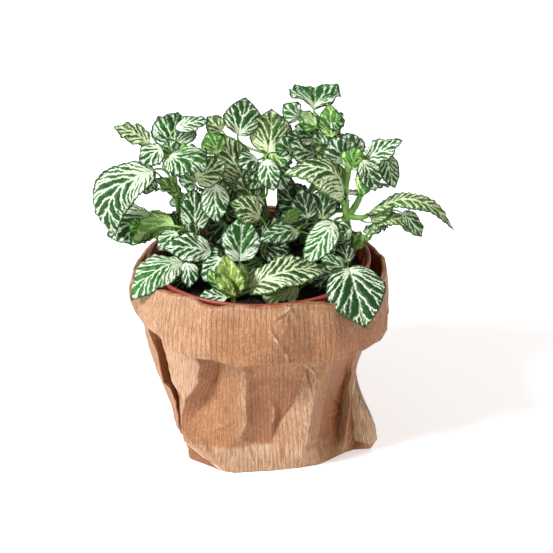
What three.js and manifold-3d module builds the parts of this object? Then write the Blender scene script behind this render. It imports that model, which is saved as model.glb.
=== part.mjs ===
// A potted nerve plant: leaves on their stems, potting soil, a round plastic nursery pot, and the kraft
// paper bag with a turned-down cuff that the pot stands in. Millimetres, +Z up. The origin is the middle
// of the bag's flat underside. Angles run from +X; -90 degrees is the front.

import * as THREE from 'three';
import { mergeVertices } from 'three/addons/utils/BufferGeometryUtils.js';
import Module from 'manifold-3d';

const wasm = await Module();
wasm.setup();

// Driving dimensions
const clearance = 0.3; // between two pieces that touch

const paper = {
  thickness: 0.5,
  baseThickness: 0.8,
  columns: 60,
  foldWidth: 2.8, // across the two plies at the top fold
  foldShoulder: 1.6, // from the top of the fold down to where each ply runs straight
  foldDepth: 2.2, // from the top of the fold down to the gap between the plies
  cuffBulge: 1.2, // how far the cuff's middle stands out
};

const pot = {
  height: 104,
  baseRadius: 40,
  neckRadius: 56.6, // under the rim band
  rimRadius: 60,
  rimBand: 13, // height of the band under the rim
  rimDraft: 0.8, // how much wider the band is at its top than at its foot
  rimLip: 1.6, // height of the rounded lip
  edgeRound: 0.4,
  wall: 1.2,
  floor: 1.6,
  foot: 2.5,
  footWidth: 4,
  holes: 6,
  holeRadius: 4.5,
  holeCircle: 27,
  holeSegments: 16,
  segments: 64,
};

const soil = {
  edgeHeight: 96.5,
  crown: 2, // the middle stands this much higher than the edge
  sideGap: 0.4,
  segments: 48,
};

const stemShape = {
  sides: 8,
  stepLength: 7,
  branchRadius: 0.8, // share of the main stem's radius
};

const leafShape = {
  bladeThickness: 0.5,
  stalkRadius: 0.65,
  bladeStations: [0, 0.1, 0.26, 0.45, 0.64, 0.82, 1],
  stalkStations: [0, 0.35, 0.7],
  tipWidth: 0.05, // share of the full width left at the tip
  belly: 0.82, // under 1 moves the widest place towards the base
  fullness: 0.62, // under 1 rounds the outline
  stalkBend: 0.4, // how far the stalk runs on in line with the blade, as a share of its reach
};

// ---- Paper bag ----

// Corners [x, y] of the folded paper at four heights: the flat base, the crease above it, the waist, and
// the shoulder behind the cuff.
const bagLevels = [
  {
    height: 0,
    corners: [
      [32, -42], [48, -28], [58, -14], [57, 14], [44, 36], [20, 50], [-22, 50],
      [-42, 32], [-46, 4], [-41, -16], [-39, -37], [-30, -46], [-19, -52],
    ],
  },
  {
    height: 16,
    corners: [
      [30, -42], [47, -28], [54, -12], [54, 14], [43, 36], [20, 49], [-22, 50],
      [-44, 33], [-52, 4], [-47, -20], [-34, -43], [-20, -49],
    ],
  },
  {
    height: 45,
    corners: [
      [26, -51], [44, -36], [55, -12], [55, 16], [42, 38], [18, 53], [-22, 53],
      [-47, 34], [-59, 4], [-54, -22], [-38, -43], [-12, -54],
    ],
  },
  {
    height: 74,
    corners: [
      [22, -59], [44, -44], [61, -14], [61, 18], [46, 42], [20, 59], [-22, 58],
      [-48, 40], [-62, 12], [-61, -14], [-44, -42], [-14, -60],
    ],
  },
];

// The top fold and the cuff's hem, as [angle, radius, height].
const foldLine = [
  [-90, 64.5, 106.5], [-70, 65, 107], [-50, 66, 99.5], [-35, 67.5, 99], [-15, 69.5, 98.5], [0, 69.5, 98],
  [15, 68.5, 98], [30, 68, 99.5], [55, 66.5, 103], [90, 64.5, 105.5], [120, 65, 104], [150, 66, 98.5],
  [165, 68, 95.5], [180, 69.5, 96], [195, 68.5, 98], [210, 67, 101], [225, 65.5, 104], [247, 64.5, 103.5],
  [261, 64.5, 106],
];
const hemLine = [
  [-90, 67, 71], [-75, 67, 72], [-62, 67.5, 68], [-45, 69, 68.5], [-30, 70, 67.5], [-10, 70.5, 64.5],
  [10, 70, 64], [45, 68, 66], [90, 67, 70], [135, 68, 68], [165, 69, 70], [180, 70, 71], [195, 69.5, 74],
  [210, 68, 75], [225, 67, 72], [240, 66.5, 70], [255, 67, 71],
];

// How far a ray from the axis at an angle (radians) runs inside a polygon of corners.
function outlineRadius(corners, angle) {
  const ray = new THREE.Vector2(Math.cos(angle), Math.sin(angle));
  let reach = 0;
  corners.forEach(([x, y], i) => {
    const start = new THREE.Vector2(x, y);
    const edge = new THREE.Vector2(...corners[(i + 1) % corners.length]).sub(start);
    const slant = ray.cross(edge);
    if (Math.abs(slant) < 1e-9) return;
    const alongRay = start.cross(edge) / slant;
    const alongEdge = start.cross(ray) / slant;
    if (alongRay > 0 && alongEdge >= -1e-6 && alongEdge <= 1 + 1e-6) reach = Math.max(reach, alongRay);
  });
  return reach;
}

// Radius and height on a line of [angle, radius, height] points, between its two neighbours.
function lineAt(points, angle) {
  const degrees = THREE.MathUtils.euclideanModulo(THREE.MathUtils.radToDeg(angle) + 90, 360) - 90;
  const closed = [...points, [points[0][0] + 360, points[0][1], points[0][2]]];
  const next = closed.findIndex(([a]) => a > degrees + 1e-9);
  const [a0, r0, z0] = closed[next - 1];
  const [a1, r1, z1] = closed[next];
  const share = (degrees - a0) / (a1 - a0);
  return { radius: THREE.MathUtils.lerp(r0, r1, share), height: THREE.MathUtils.lerp(z0, z1, share) };
}

// One closed section of the paper at an angle: up the outside of the wall, over the fold, round the cuff,
// and back down the inside.
function bagSection(angle) {
  const wall = bagLevels.map(({ height, corners }) => [outlineRadius(corners, angle), height]);
  const fold = lineAt(foldLine, angle);
  const hem = lineAt(hemLine, angle);
  const t = paper.thickness;
  const cuffMiddle = [(fold.radius + hem.radius) / 2 + paper.cuffBulge, (fold.height + hem.height) / 2];
  const neck = fold.radius - paper.foldWidth;
  return [
    ...wall,
    [neck + t, fold.height - paper.foldDepth],
    [fold.radius - t, fold.height - paper.foldDepth],
    [cuffMiddle[0] - t, cuffMiddle[1]],
    [hem.radius - t, hem.height],
    [hem.radius, hem.height],
    cuffMiddle,
    [fold.radius, fold.height - paper.foldShoulder],
    [fold.radius - paper.foldWidth / 2, fold.height],
    [neck, fold.height - paper.foldShoulder],
    ...wall.slice(1).reverse().map(([radius, height]) => [radius - t, height]),
    [wall[0][0] - t, paper.baseThickness],
  ];
}

// A closed body from rings of points, each ring with the same count, and one point at either end.
function closedLoft(rings, firstPole, lastPole) {
  const count = rings[0].length;
  const points = [firstPole, ...rings.flat(), lastPole];
  const last = points.length - 1;
  const at = (ring, i) => 1 + ring * count + (i % count);
  const faces = [];
  for (let i = 0; i < count; i++) {
    faces.push(0, at(0, i + 1), at(0, i));
    faces.push(last, at(rings.length - 1, i), at(rings.length - 1, i + 1));
    for (let ring = 0; ring < rings.length - 1; ring++) {
      faces.push(at(ring, i), at(ring, i + 1), at(ring + 1, i));
      faces.push(at(ring, i + 1), at(ring + 1, i + 1), at(ring + 1, i));
    }
  }
  return facingOut(points, faces);
}

// Geometry from points and face indices, with the faces turned outward.
function facingOut(points, faces) {
  let volume = 0;
  for (let i = 0; i < faces.length; i += 3) {
    const [a, b, c] = [faces[i], faces[i + 1], faces[i + 2]].map((k) => points[k]);
    volume += a.dot(b.clone().cross(c));
  }
  if (volume < 0) faces.reverse();
  const geometry = new THREE.BufferGeometry().setFromPoints(points);
  geometry.setIndex(faces);
  geometry.computeVertexNormals();
  return geometry;
}

function makePaperBag() {
  const angles = Array.from({ length: paper.columns }, (_, i) => (i / paper.columns) * 2 * Math.PI);
  const sections = angles.map(bagSection);
  const rings = sections[0].map((_, level) => sections.map((section, i) => {
    const [radius, height] = section[level];
    return new THREE.Vector3(radius * Math.cos(angles[i]), radius * Math.sin(angles[i]), height);
  }));
  return closedLoft(rings, new THREE.Vector3(0, 0, 0), new THREE.Vector3(0, 0, paper.baseThickness));
}

// ---- Nursery pot and soil ----

const potFoot = paper.baseThickness + clearance; // height of the pot's underside
const potTop = potFoot + pot.height;

// Outside radius of the pot's tapered wall at a height.
function potRadius(height) {
  const share = (height - potFoot) / (pot.height - pot.rimBand);
  return THREE.MathUtils.lerp(pot.baseRadius, pot.neckRadius, share);
}

// A turned solid about +Z, from [radius, height] pairs.
function turned(pairs, segments) {
  const geometry = new THREE.LatheGeometry(pairs.map((pair) => new THREE.Vector2(...pair)), segments);
  geometry.rotateX(Math.PI / 2);
  geometry.rotateZ(Math.PI / 2);
  return geometry;
}

// Between three.js geometry and a solid that can be joined and cut.
function toSolid(geometry) {
  geometry.deleteAttribute('normal');
  geometry.deleteAttribute('uv');
  const merged = mergeVertices(geometry, 1e-4);
  const vertProperties = new Float32Array(merged.attributes.position.array);
  const triVerts = new Uint32Array(merged.index.array);
  return new wasm.Manifold(new wasm.Mesh({ numProp: 3, vertProperties, triVerts }));
}

function fromSolid(solid) {
  const { vertProperties, triVerts } = solid.getMesh();
  const geometry = new THREE.BufferGeometry();
  geometry.setAttribute('position', new THREE.BufferAttribute(new Float32Array(vertProperties), 3));
  geometry.setIndex(new THREE.BufferAttribute(new Uint32Array(triVerts), 1));
  geometry.computeVertexNormals();
  return geometry;
}

function makeNurseryPot() {
  const bandFoot = potTop - pot.rimBand;
  const floorTop = potFoot + pot.foot + pot.floor;
  const footInside = pot.baseRadius - pot.footWidth;
  const body = turned([
    [0, potFoot + pot.foot],
    [footInside, potFoot + pot.foot],
    [footInside + pot.edgeRound, potFoot],
    [pot.baseRadius, potFoot],
    [potRadius(bandFoot), bandFoot],
    [pot.rimRadius - pot.rimDraft, bandFoot],
    [pot.rimRadius, potTop - pot.rimLip],
    [pot.rimRadius - pot.edgeRound, potTop - pot.edgeRound],
    [pot.rimRadius - pot.wall, potTop],
    [pot.rimRadius - 2 * pot.wall, potTop - pot.edgeRound],
    [potRadius(bandFoot) + pot.edgeRound - pot.wall, bandFoot + pot.wall],
    [potRadius(floorTop) - pot.wall, floorTop],
    [0, floorTop],
  ], pot.segments);
  let solid = toSolid(body);
  for (let i = 0; i < pot.holes; i++) {
    const angle = (i / pot.holes) * 2 * Math.PI;
    const drill = new THREE.CylinderGeometry(pot.holeRadius, pot.holeRadius, 4 * pot.foot, pot.holeSegments);
    drill.rotateX(Math.PI / 2);
    drill.translate(pot.holeCircle * Math.cos(angle), pot.holeCircle * Math.sin(angle), potFoot + pot.foot);
    solid = solid.subtract(toSolid(drill));
  }
  return fromSolid(solid);
}

// Height of the soil's gently crowned top at a radius.
function soilTop(radius) {
  return soil.edgeHeight + soil.crown * (1 - (radius / pot.neckRadius) ** 2);
}

function makeSoil() {
  const foot = potFoot + pot.foot + pot.floor + clearance;
  const footRadius = potRadius(foot) - pot.wall - soil.sideGap;
  const edgeRadius = potRadius(potTop - pot.rimBand) - pot.wall - soil.sideGap;
  const steps = [1, 0.75, 0.5, 0.25, 0];
  return turned([
    [0, foot],
    [footRadius, foot],
    [edgeRadius, potTop - pot.rimBand],
    ...steps.map((share) => [edgeRadius * share, soilTop(edgeRadius * share)]),
  ], soil.segments);
}

// ---- Stems ----

// Each stem is a list of points from the soil to its tip, with the radius at its foot and at its tip.
// Branches are part of the stem that they grow from.
const stems = {
  left_stem: {
    radius: [1.7, 1.2],
    points: [[-34, 10], [-35, 9, 104], [-41, 6, 117], [-43, 4, 133], [-44, 3, 145], [-46, 1, 164]],
  },
  low_left_stem: {
    radius: [1.5, 1.1],
    points: [[-30, -4], [-30, -4, 103], [-33, -5, 112], [-34, -5, 120]],
  },
  inner_stem: {
    radius: [1.5, 1.1],
    points: [[-19, 6], [-19, 6, 104], [-21, 4, 122], [-24, 1, 148]],
  },
  centre_stem: {
    radius: [1.6, 1.2],
    points: [[3, 24], [3, 24, 104], [2, 22, 120], [2, 19, 136], [3, 14, 151], [4, 11, 161]],
  },
  low_centre_stem: {
    radius: [1.5, 1.1],
    points: [[4, -8], [4, -8, 103], [3, -10, 112], [6, -10, 124]],
    branches: [[[3.4, -9, 108], [11, -6, 117], [22, -2, 122]]],
  },
  right_stem: {
    radius: [2.1, 1.4],
    points: [[49, 14], [49, 14, 103], [47, 9, 123], [46, 6, 140], [48, 3, 157]],
    branches: [
      [[46.2, 7, 137], [40, 12, 151], [35, 16, 162], [33, 16, 171], [30, 14, 180]],
      [[47, 9, 122], [53, 6, 134], [55, 3, 144], [56, 0, 153]],
    ],
  },
  outer_right_stem: {
    radius: [1.8, 1.4],
    points: [[48, 5], [48, 5, 101], [53, 5, 108], [57, 5, 114]],
  },
  front_right_stem: {
    radius: [1.4, 1.1],
    points: [[42, -24], [42, -24, 100], [44, -26, 107]],
  },
  front_shoot: {
    radius: [1.4, 0.9],
    points: [[-13, -40], [-13, -40, 103], [-14, -39, 110]],
  },
  back_left_stem: {
    radius: [1.5, 1.1],
    points: [[-18, 30], [-18, 30, 103], [-17, 32, 112]],
  },
  back_right_stem: {
    radius: [1.5, 1.1],
    points: [[24, 30], [24, 30, 103], [24, 33, 113]],
  },
};

const vector = ([x, y, z]) => new THREE.Vector3(x, y, z);

const smoothLine = (points) => new THREE.CatmullRomCurve3(points.map(vector), false, 'centripetal');

// A stem's middle line. Its foot stands just clear of the soil.
function stemCurve({ points: [foot, ...rest] }) {
  const footHeight = soilTop(Math.hypot(...foot)) + clearance;
  return smoothLine([[...foot, footHeight], ...rest]);
}

// A round tube along a curve, tapering from one radius to another.
function taperedTube(curve, radii) {
  const steps = Math.ceil(curve.getLength() / stemShape.stepLength);
  const frames = curve.computeFrenetFrames(steps, false);
  const rings = frames.tangents.map((_, step) => {
    const middle = curve.getPointAt(step / steps);
    const radius = THREE.MathUtils.lerp(radii[0], radii[1], step / steps);
    return Array.from({ length: stemShape.sides }, (_side, i) => {
      const turn = (i / stemShape.sides) * 2 * Math.PI;
      return middle.clone()
        .addScaledVector(frames.normals[step], radius * Math.cos(turn))
        .addScaledVector(frames.binormals[step], radius * Math.sin(turn));
    });
  });
  return closedLoft(rings, curve.getPointAt(0), curve.getPointAt(1));
}

function makeStem(stem) {
  const main = taperedTube(stemCurve(stem), stem.radius);
  if (!stem.branches) return main;
  const branchRadii = stem.radius.map((radius) => radius * stemShape.branchRadius);
  let solid = toSolid(main);
  for (const points of stem.branches) solid = solid.add(toSolid(taperedTube(smoothLine(points), branchRadii)));
  return fromSolid(solid);
}

// ---- Leaves ----

// Each leaf: the stem (or stem and branch) that carries it, how far up it joins (0 to 1), where its blade
// begins and ends, its width, the way its upper face looks, and how far its midrib arches towards that face.
const leaves = {
  left_leaf_1: {
    on: ['left_stem', 0.9], base: [-57, 4, 168], tip: [-75, 9, 175],
    width: 15, face: [0, -6, 8], arch: 2,
  },
  left_leaf_2: {
    on: ['left_stem', 0.97], base: [-44, 3, 165], tip: [-42, 8, 184],
    width: 23, face: [0, -10, 2], arch: -3,
  },
  left_leaf_3: {
    on: ['left_stem', 0.99], base: [-50, -3, 167], tip: [-61, -9, 161],
    width: 15, face: [-3, -7, 6], arch: 1,
  },
  left_leaf_4: {
    on: ['left_stem', 0.92], base: [-46, -4, 163], tip: [-29, -19, 161],
    width: 27, face: [0, -4, 9], arch: 2,
  },
  left_leaf_5: {
    on: ['left_stem', 0.6], base: [-57, -6, 153], tip: [-76, -13, 120],
    width: 27, face: [-4, -7, 5], arch: 11,
  },
  left_leaf_6: {
    on: ['left_stem', 0.35], base: [-58, 1, 128], tip: [-80, -5, 118],
    width: 24, face: [-2, -8, 6], arch: 2,
  },
  left_leaf_7: {
    on: ['left_stem', 0.25], base: [-44, -10, 127], tip: [-65, -17, 120],
    width: 19, face: [0, 9, 3], arch: 6,
  },
  left_leaf_8: {
    on: ['low_left_stem', 0.9], base: [-43, -12, 124], tip: [-53, -18, 116],
    width: 12, face: [-2, -7, 6], arch: 1,
  },
  left_leaf_9: {
    on: ['low_left_stem', 0.96], base: [-34, -6, 122], tip: [-35, 0, 144],
    width: 17, face: [0, -9, 3], arch: 1,
  },
  inner_leaf_1: {
    on: ['inner_stem', 0.95], base: [-23, -4, 148], tip: [-22, -10, 129],
    width: 18, face: [0, -9, 4], arch: 1,
  },
  inner_leaf_2: {
    on: ['inner_stem', 0.97], base: [-33, -1, 150], tip: [-19, 2, 160],
    width: 16, face: [0, 9, 4], arch: 2,
  },
  centre_leaf_1: {
    on: ['centre_stem', 0.5], base: [-6, 8, 137], tip: [-23, 11, 172],
    width: 22, face: [-1, -8, 5], arch: 2,
  },
  centre_leaf_2: {
    on: ['centre_stem', 0.97], base: [-11, 13, 169], tip: [-7, 18, 188],
    width: 20, face: [0, -9, 4], arch: 1,
  },
  centre_leaf_3: {
    on: ['centre_stem', 0.96], base: [5, 9, 160], tip: [7, 16, 184],
    width: 24, face: [0, -9, 4], arch: -2,
  },
  centre_leaf_4: {
    on: ['centre_stem', 0.92], base: [4, 3, 159], tip: [8, -2, 143],
    width: 12, face: [0, -8, 5], arch: 2,
  },
  centre_leaf_5: {
    on: ['centre_stem', 0.94], base: [-1, 7, 157], tip: [-11, 2, 155],
    width: 14, face: [0, -7, 7], arch: 2,
  },
  centre_leaf_6: {
    on: ['centre_stem', 0.95], base: [10, 9, 156], tip: [18, 4, 159],
    width: 11, face: [0, -7, 7], arch: 2,
  },
  low_leaf_1: {
    on: ['low_centre_stem', 0.97], base: [-1, -8, 132], tip: [-14, -11, 139],
    width: 13, face: [0, 6, 8], arch: 2,
  },
  low_leaf_2: {
    on: ['low_centre_stem', 0.6, 0], base: [14, -6, 125], tip: [24, -6, 133],
    width: 14, face: [0, 7, 7], arch: 3,
  },
  low_leaf_3: {
    on: ['low_centre_stem', 0.97, 0], base: [26, 3, 125], tip: [22, 4, 142],
    width: 15, face: [0, -9, 2], arch: 0,
  },
  low_leaf_4: {
    on: ['back_right_stem', 0.97], base: [21, 20, 124], tip: [12, 12, 139],
    width: 13, face: [-2, -8, 4], arch: 2,
  },
  low_leaf_5: {
    on: ['low_centre_stem', 0.9, 0], base: [21, -12, 124], tip: [0, -20, 122],
    width: 14, face: [0, -4, 9], arch: 4,
  },
  low_leaf_6: {
    on: ['low_centre_stem', 0.4], base: [-10, -19, 109], tip: [-7, -13, 133],
    width: 18, face: [0, -9, 4], arch: 1,
  },
  top_leaf_1: {
    on: ['right_stem', 0.97, 0], base: [30, 15, 184], tip: [28, 33, 189],
    width: 27, face: [0, -5, 9], arch: 1,
  },
  top_leaf_2: {
    on: ['right_stem', 0.74, 0], base: [36, 9, 173], tip: [35, 11, 187],
    width: 9, face: [0, -9, 3], arch: 0,
  },
  top_leaf_3: {
    on: ['right_stem', 0.84, 0], base: [30, 8, 176], tip: [22, 5, 186],
    width: 9, face: [3, 8, 3], arch: 1,
  },
  right_leaf_1: {
    on: ['right_stem', 0.97], base: [48, 5, 159], tip: [46, 8, 172],
    width: 15, face: [0, -9, 3], arch: 0,
  },
  right_leaf_2: {
    on: ['right_stem', 0.94], base: [53, 2, 157], tip: [75, 0, 170],
    width: 13, face: [1, -5, 8], arch: 2,
  },
  right_leaf_3: {
    on: ['right_stem', 0.97, 1], base: [67, 8, 160], tip: [72, 2, 143],
    width: 13, face: [1, -9, 3], arch: 2,
  },
  right_leaf_4: {
    on: ['right_stem', 0.9], base: [55, -8, 162], tip: [63, -11, 151],
    width: 12, face: [4, -8, 4], arch: 2,
  },
  right_leaf_5: {
    on: ['right_stem', 0.9, 1], base: [53, -3, 153], tip: [60, -5, 145],
    width: 12, face: [3, 8, 5], arch: 2,
  },
  right_leaf_6: {
    on: ['right_stem', 0.1, 1], base: [61, 1, 134], tip: [103, -7, 122],
    width: 15, face: [0, -2, 9], arch: 12,
  },
  right_leaf_7: {
    on: ['outer_right_stem', 0.95], base: [61, 4, 118], tip: [87, -2, 116],
    width: 17, face: [-2, -6, 8], arch: 9,
  },
  right_leaf_8: {
    on: ['right_stem', 0.6], base: [41, 0, 138], tip: [21, -7, 159],
    width: 24, face: [-1, -8, 6], arch: 2,
  },
  right_leaf_9: {
    on: ['right_stem', 0.4], base: [39, -8, 128], tip: [24, -22, 110],
    width: 17, face: [-2, -8, 5], arch: 3,
  },
  right_leaf_10: {
    on: ['right_stem', 0.35], base: [34, 4, 124], tip: [36, 6, 142],
    width: 16, face: [0, -9, 2], arch: 0,
  },
  front_leaf_1: {
    on: ['front_shoot', 0.15], base: [-6, -37, 102], tip: [37, -28, 108],
    width: 20, face: [0, -5, 9], arch: 11,
  },
  front_leaf_2: {
    on: ['low_left_stem', 0.6], base: [-25, -15, 114], tip: [-50, -20, 118],
    width: 17, face: [0, -7, 7], arch: 3,
  },
  front_leaf_3: {
    on: ['front_shoot', 0.9], base: [-19, -27, 116], tip: [-29, -31, 104],
    width: 13, face: [-2, -8, 5], arch: 2,
  },
  front_leaf_4: {
    on: ['low_left_stem', 0.4], base: [-40, -22, 111], tip: [-66, -35, 95],
    width: 22, face: [-2, -6, 8], arch: 7,
  },
  front_leaf_5: {
    on: ['front_shoot', 0.4], base: [-16, -43, 101], tip: [-31, -41, 101],
    width: 11, face: [0, -5, 9], arch: 1,
  },
  front_leaf_6: {
    on: ['front_right_stem', 0.9], base: [47, -29, 111], tip: [55, -56, 90],
    width: 32, face: [1, -7, 7], arch: 6,
  },
  back_leaf_1: {
    on: ['back_left_stem', 0.9], base: [-22, 35, 113], tip: [-41, 50, 115],
    width: 20, face: [-1, 3, 9], arch: 3,
  },
  back_leaf_2: {
    on: ['back_left_stem', 0.96], base: [-15, 38, 115], tip: [-12, 62, 114],
    width: 20, face: [0, 3, 9], arch: 3,
  },
  back_leaf_3: {
    on: ['back_right_stem', 0.9], base: [22, 39, 115], tip: [17, 62, 115],
    width: 18, face: [0, 3, 9], arch: 3,
  },
  back_leaf_4: {
    on: ['back_right_stem', 0.93], base: [30, 35, 115], tip: [48, 51, 116],
    width: 20, face: [1, 3, 9], arch: 3,
  },
};

// The blade's share of its full width at a place between base (0) and tip (1).
function bladeOutline(place) {
  const broad = Math.sin(Math.PI * place ** leafShape.belly) ** leafShape.fullness;
  return Math.max(broad, leafShape.tipWidth);
}

// A flat ring across a leaf or its stalk: five points over the top and three underneath.
function leafRing(middle, side, up, halfWidth, halfThickness) {
  const spread = [[-1, 1], [-0.5, 1], [0, 1], [0.5, 1], [1, 1], [0.5, -1], [0, -1], [-0.5, -1]];
  return spread.map(([across, surface]) => middle.clone()
    .addScaledVector(side, across * halfWidth)
    .addScaledVector(up, surface * halfThickness * (1 - across * across)));
}

// Where a leaf's stalk starts: beside its stem, just clear of it, on the side that faces the leaf.
function stalkStart({ on: [stemName, share, branch], base }) {
  const stem = stems[stemName];
  const onBranch = branch !== undefined;
  const curve = onBranch ? smoothLine(stem.branches[branch]) : stemCurve(stem);
  const middle = curve.getPointAt(share);
  const along = curve.getTangentAt(share);
  const radius = THREE.MathUtils.lerp(...stem.radius, share) * (onBranch ? stemShape.branchRadius : 1);
  const toBase = vector(base).sub(middle).normalize();
  const lean = Math.abs(toBase.dot(along));
  const offset = radius + clearance + leafShape.stalkRadius * lean;
  return middle.addScaledVector(toBase.projectOnPlane(along).normalize(), offset);
}

function makeLeaf(leaf) {
  const base = vector(leaf.base);
  const chord = vector(leaf.tip).sub(base);
  const face = vector(leaf.face).projectOnPlane(chord.clone().normalize()).normalize();
  const side = chord.clone().cross(face).normalize();
  const start = stalkStart(leaf);
  const blade = (place) => base.clone()
    .addScaledVector(chord, place)
    .addScaledVector(face, 4 * leaf.arch * place * (1 - place));
  const leaving = blade(0.02).sub(base).normalize();
  const bend = base.clone().addScaledVector(leaving, -leafShape.stalkBend * base.distanceTo(start));
  const stalk = new THREE.QuadraticBezierCurve3(start, bend, base);
  const rings = leafShape.stalkStations.map((place) => {
    const middle = stalk.getPoint(place);
    const along = stalk.getTangent(place);
    const across = side.clone().projectOnPlane(along).normalize();
    return leafRing(middle, across, across.clone().cross(along), leafShape.stalkRadius, leafShape.stalkRadius);
  });
  for (const place of leafShape.bladeStations) {
    const along = blade(place + 0.01).sub(blade(place - 0.01)).normalize();
    const up = side.clone().cross(along);
    const halfWidth = Math.max(leaf.width / 2 * bladeOutline(place), leafShape.stalkRadius);
    const halfThickness = place === 0 ? leafShape.stalkRadius : leafShape.bladeThickness / 2;
    rings.push(leafRing(blade(place), side, up, halfWidth, halfThickness));
  }
  return closedLoft(rings, start, blade(1));
}

// ---- Assembly ----

const materials = {
  paper: { color: 0xc8966e, roughness: 0.9 },
  potPlastic: { color: 0xb8553f, roughness: 0.5 },
  soil: { color: 0x1b1614, roughness: 1 },
  stem: { color: 0x7ab55a, roughness: 0.6 },
  leaf: { color: 0x2f7a45, roughness: 0.5 },
};

const plant = new THREE.Group();

function addPiece(name, geometry, material) {
  const mesh = new THREE.Mesh(geometry, new THREE.MeshStandardMaterial({ metalness: 0, ...material }));
  mesh.name = name;
  plant.add(mesh);
}

addPiece('paper_bag', makePaperBag(), materials.paper);
addPiece('nursery_pot', makeNurseryPot(), materials.potPlastic);
addPiece('soil', makeSoil(), materials.soil);
for (const [name, stem] of Object.entries(stems)) addPiece(name, makeStem(stem), materials.stem);
for (const [name, leaf] of Object.entries(leaves)) addPiece(name, makeLeaf(leaf), materials.leaf);

export default plant;
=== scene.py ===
import math

import bpy
import numpy as np
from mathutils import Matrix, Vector


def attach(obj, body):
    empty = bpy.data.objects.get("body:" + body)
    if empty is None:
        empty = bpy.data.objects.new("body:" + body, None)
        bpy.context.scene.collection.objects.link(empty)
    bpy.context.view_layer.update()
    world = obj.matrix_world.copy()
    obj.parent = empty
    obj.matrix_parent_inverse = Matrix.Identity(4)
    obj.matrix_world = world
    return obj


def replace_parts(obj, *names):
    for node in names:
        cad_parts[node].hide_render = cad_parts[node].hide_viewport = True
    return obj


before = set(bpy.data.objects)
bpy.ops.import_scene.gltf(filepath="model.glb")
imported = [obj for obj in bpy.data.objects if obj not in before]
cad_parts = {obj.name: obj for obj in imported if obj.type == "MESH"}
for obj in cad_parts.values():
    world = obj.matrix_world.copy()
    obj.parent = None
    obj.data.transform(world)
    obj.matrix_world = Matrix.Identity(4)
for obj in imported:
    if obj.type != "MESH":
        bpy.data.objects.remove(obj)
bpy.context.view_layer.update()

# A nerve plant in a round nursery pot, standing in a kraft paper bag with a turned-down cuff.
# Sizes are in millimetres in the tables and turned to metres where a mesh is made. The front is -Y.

mm = 0.001


def linearColour(hexCode):
    # sRGB hex to the linear colour that the shader sockets take
    parts = [int(hexCode[i:i + 2], 16) / 255 for i in (1, 3, 5)]
    return [c / 12.92 if c <= 0.04045 else ((c + 0.055) / 1.055) ** 2.4 for c in parts] + [1]


def addNode(tree, kind, inputs=None, **settings):
    # a node with its settings; an input is a value, or a socket to link from
    node = tree.nodes.new(kind)
    for name, value in settings.items():
        setattr(node, name, value)
    for name, value in (inputs or {}).items():
        if isinstance(value, bpy.types.NodeSocket):
            tree.links.new(value, node.inputs[name])
        else:
            node.inputs[name].default_value = value
    return node


def startMaterial(name, shaderValues):
    # a material with its shader's own values set
    material = bpy.data.materials.new(name)
    material.use_nodes = True
    tree = material.node_tree
    shader = tree.nodes["Principled BSDF"]
    for socket, value in shaderValues.items():
        shader.inputs[socket].default_value = value
    return material, tree, shader


def makePiece(name, points, faceGroups, materials, attributes=None, faceSlots=None):
    # a smooth shaded mesh from points in millimetres, riding on the root body; the faces of one group have
    # equally many corners
    mesh = bpy.data.meshes.new(name)
    points = np.asarray(points, float) * mm
    groups = [np.asarray(group, np.int32) for group in faceGroups]
    corners = np.concatenate([group.ravel() for group in groups])
    sizes = np.concatenate([np.full(len(group), group.shape[1], np.int32) for group in groups])
    mesh.vertices.add(len(points))
    mesh.vertices.foreach_set("co", points.ravel())
    mesh.loops.add(len(corners))
    mesh.loops.foreach_set("vertex_index", corners)
    mesh.polygons.add(len(sizes))
    mesh.polygons.foreach_set("loop_start", np.concatenate([[0], np.cumsum(sizes)[:-1]]).astype(np.int32))
    if faceSlots is not None:
        mesh.polygons.foreach_set("material_index", np.asarray(faceSlots, np.int32))
    mesh.polygons.foreach_set("use_smooth", np.ones(len(sizes), bool))
    for material in materials:
        mesh.materials.append(material)
    for key, values in (attributes or {}).items():
        layer = mesh.attributes.new(key, "FLOAT", "POINT")
        layer.data.foreach_set("value", np.asarray(values, np.float32).ravel())
    mesh.update()
    mesh.validate()
    piece = bpy.data.objects.new(name, mesh)
    bpy.context.scene.collection.objects.link(piece)
    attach(piece, "root")
    return piece


def unit(vectors):
    # the same directions with length 1
    vectors = np.asarray(vectors, float)
    return vectors / np.maximum(np.linalg.norm(vectors, axis=-1, keepdims=True), 1e-12)


def gridFaces(rows, columns, wrap=False):
    # quads of a grid of points; with wrap the last column joins the first
    i, j = np.meshgrid(np.arange(rows - 1), np.arange(columns if wrap else columns - 1), indexing="ij")
    k = (j + 1) % columns
    quads = np.stack([i * columns + j, i * columns + k, (i + 1) * columns + k, (i + 1) * columns + j], -1)
    return quads.reshape(-1, 4)


def gridNormals(points):
    # normals of a grid of points, [rows, columns, 3], from its neighbours
    return unit(np.cross(np.gradient(points, axis=1), np.gradient(points, axis=0)))


def smoothStep(value, low, high):
    # 0 under low, 1 over high, and a soft rise between them
    x = np.clip((value - low) / (high - low), 0, 1)
    return x * x * (3 - 2 * x)


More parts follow.
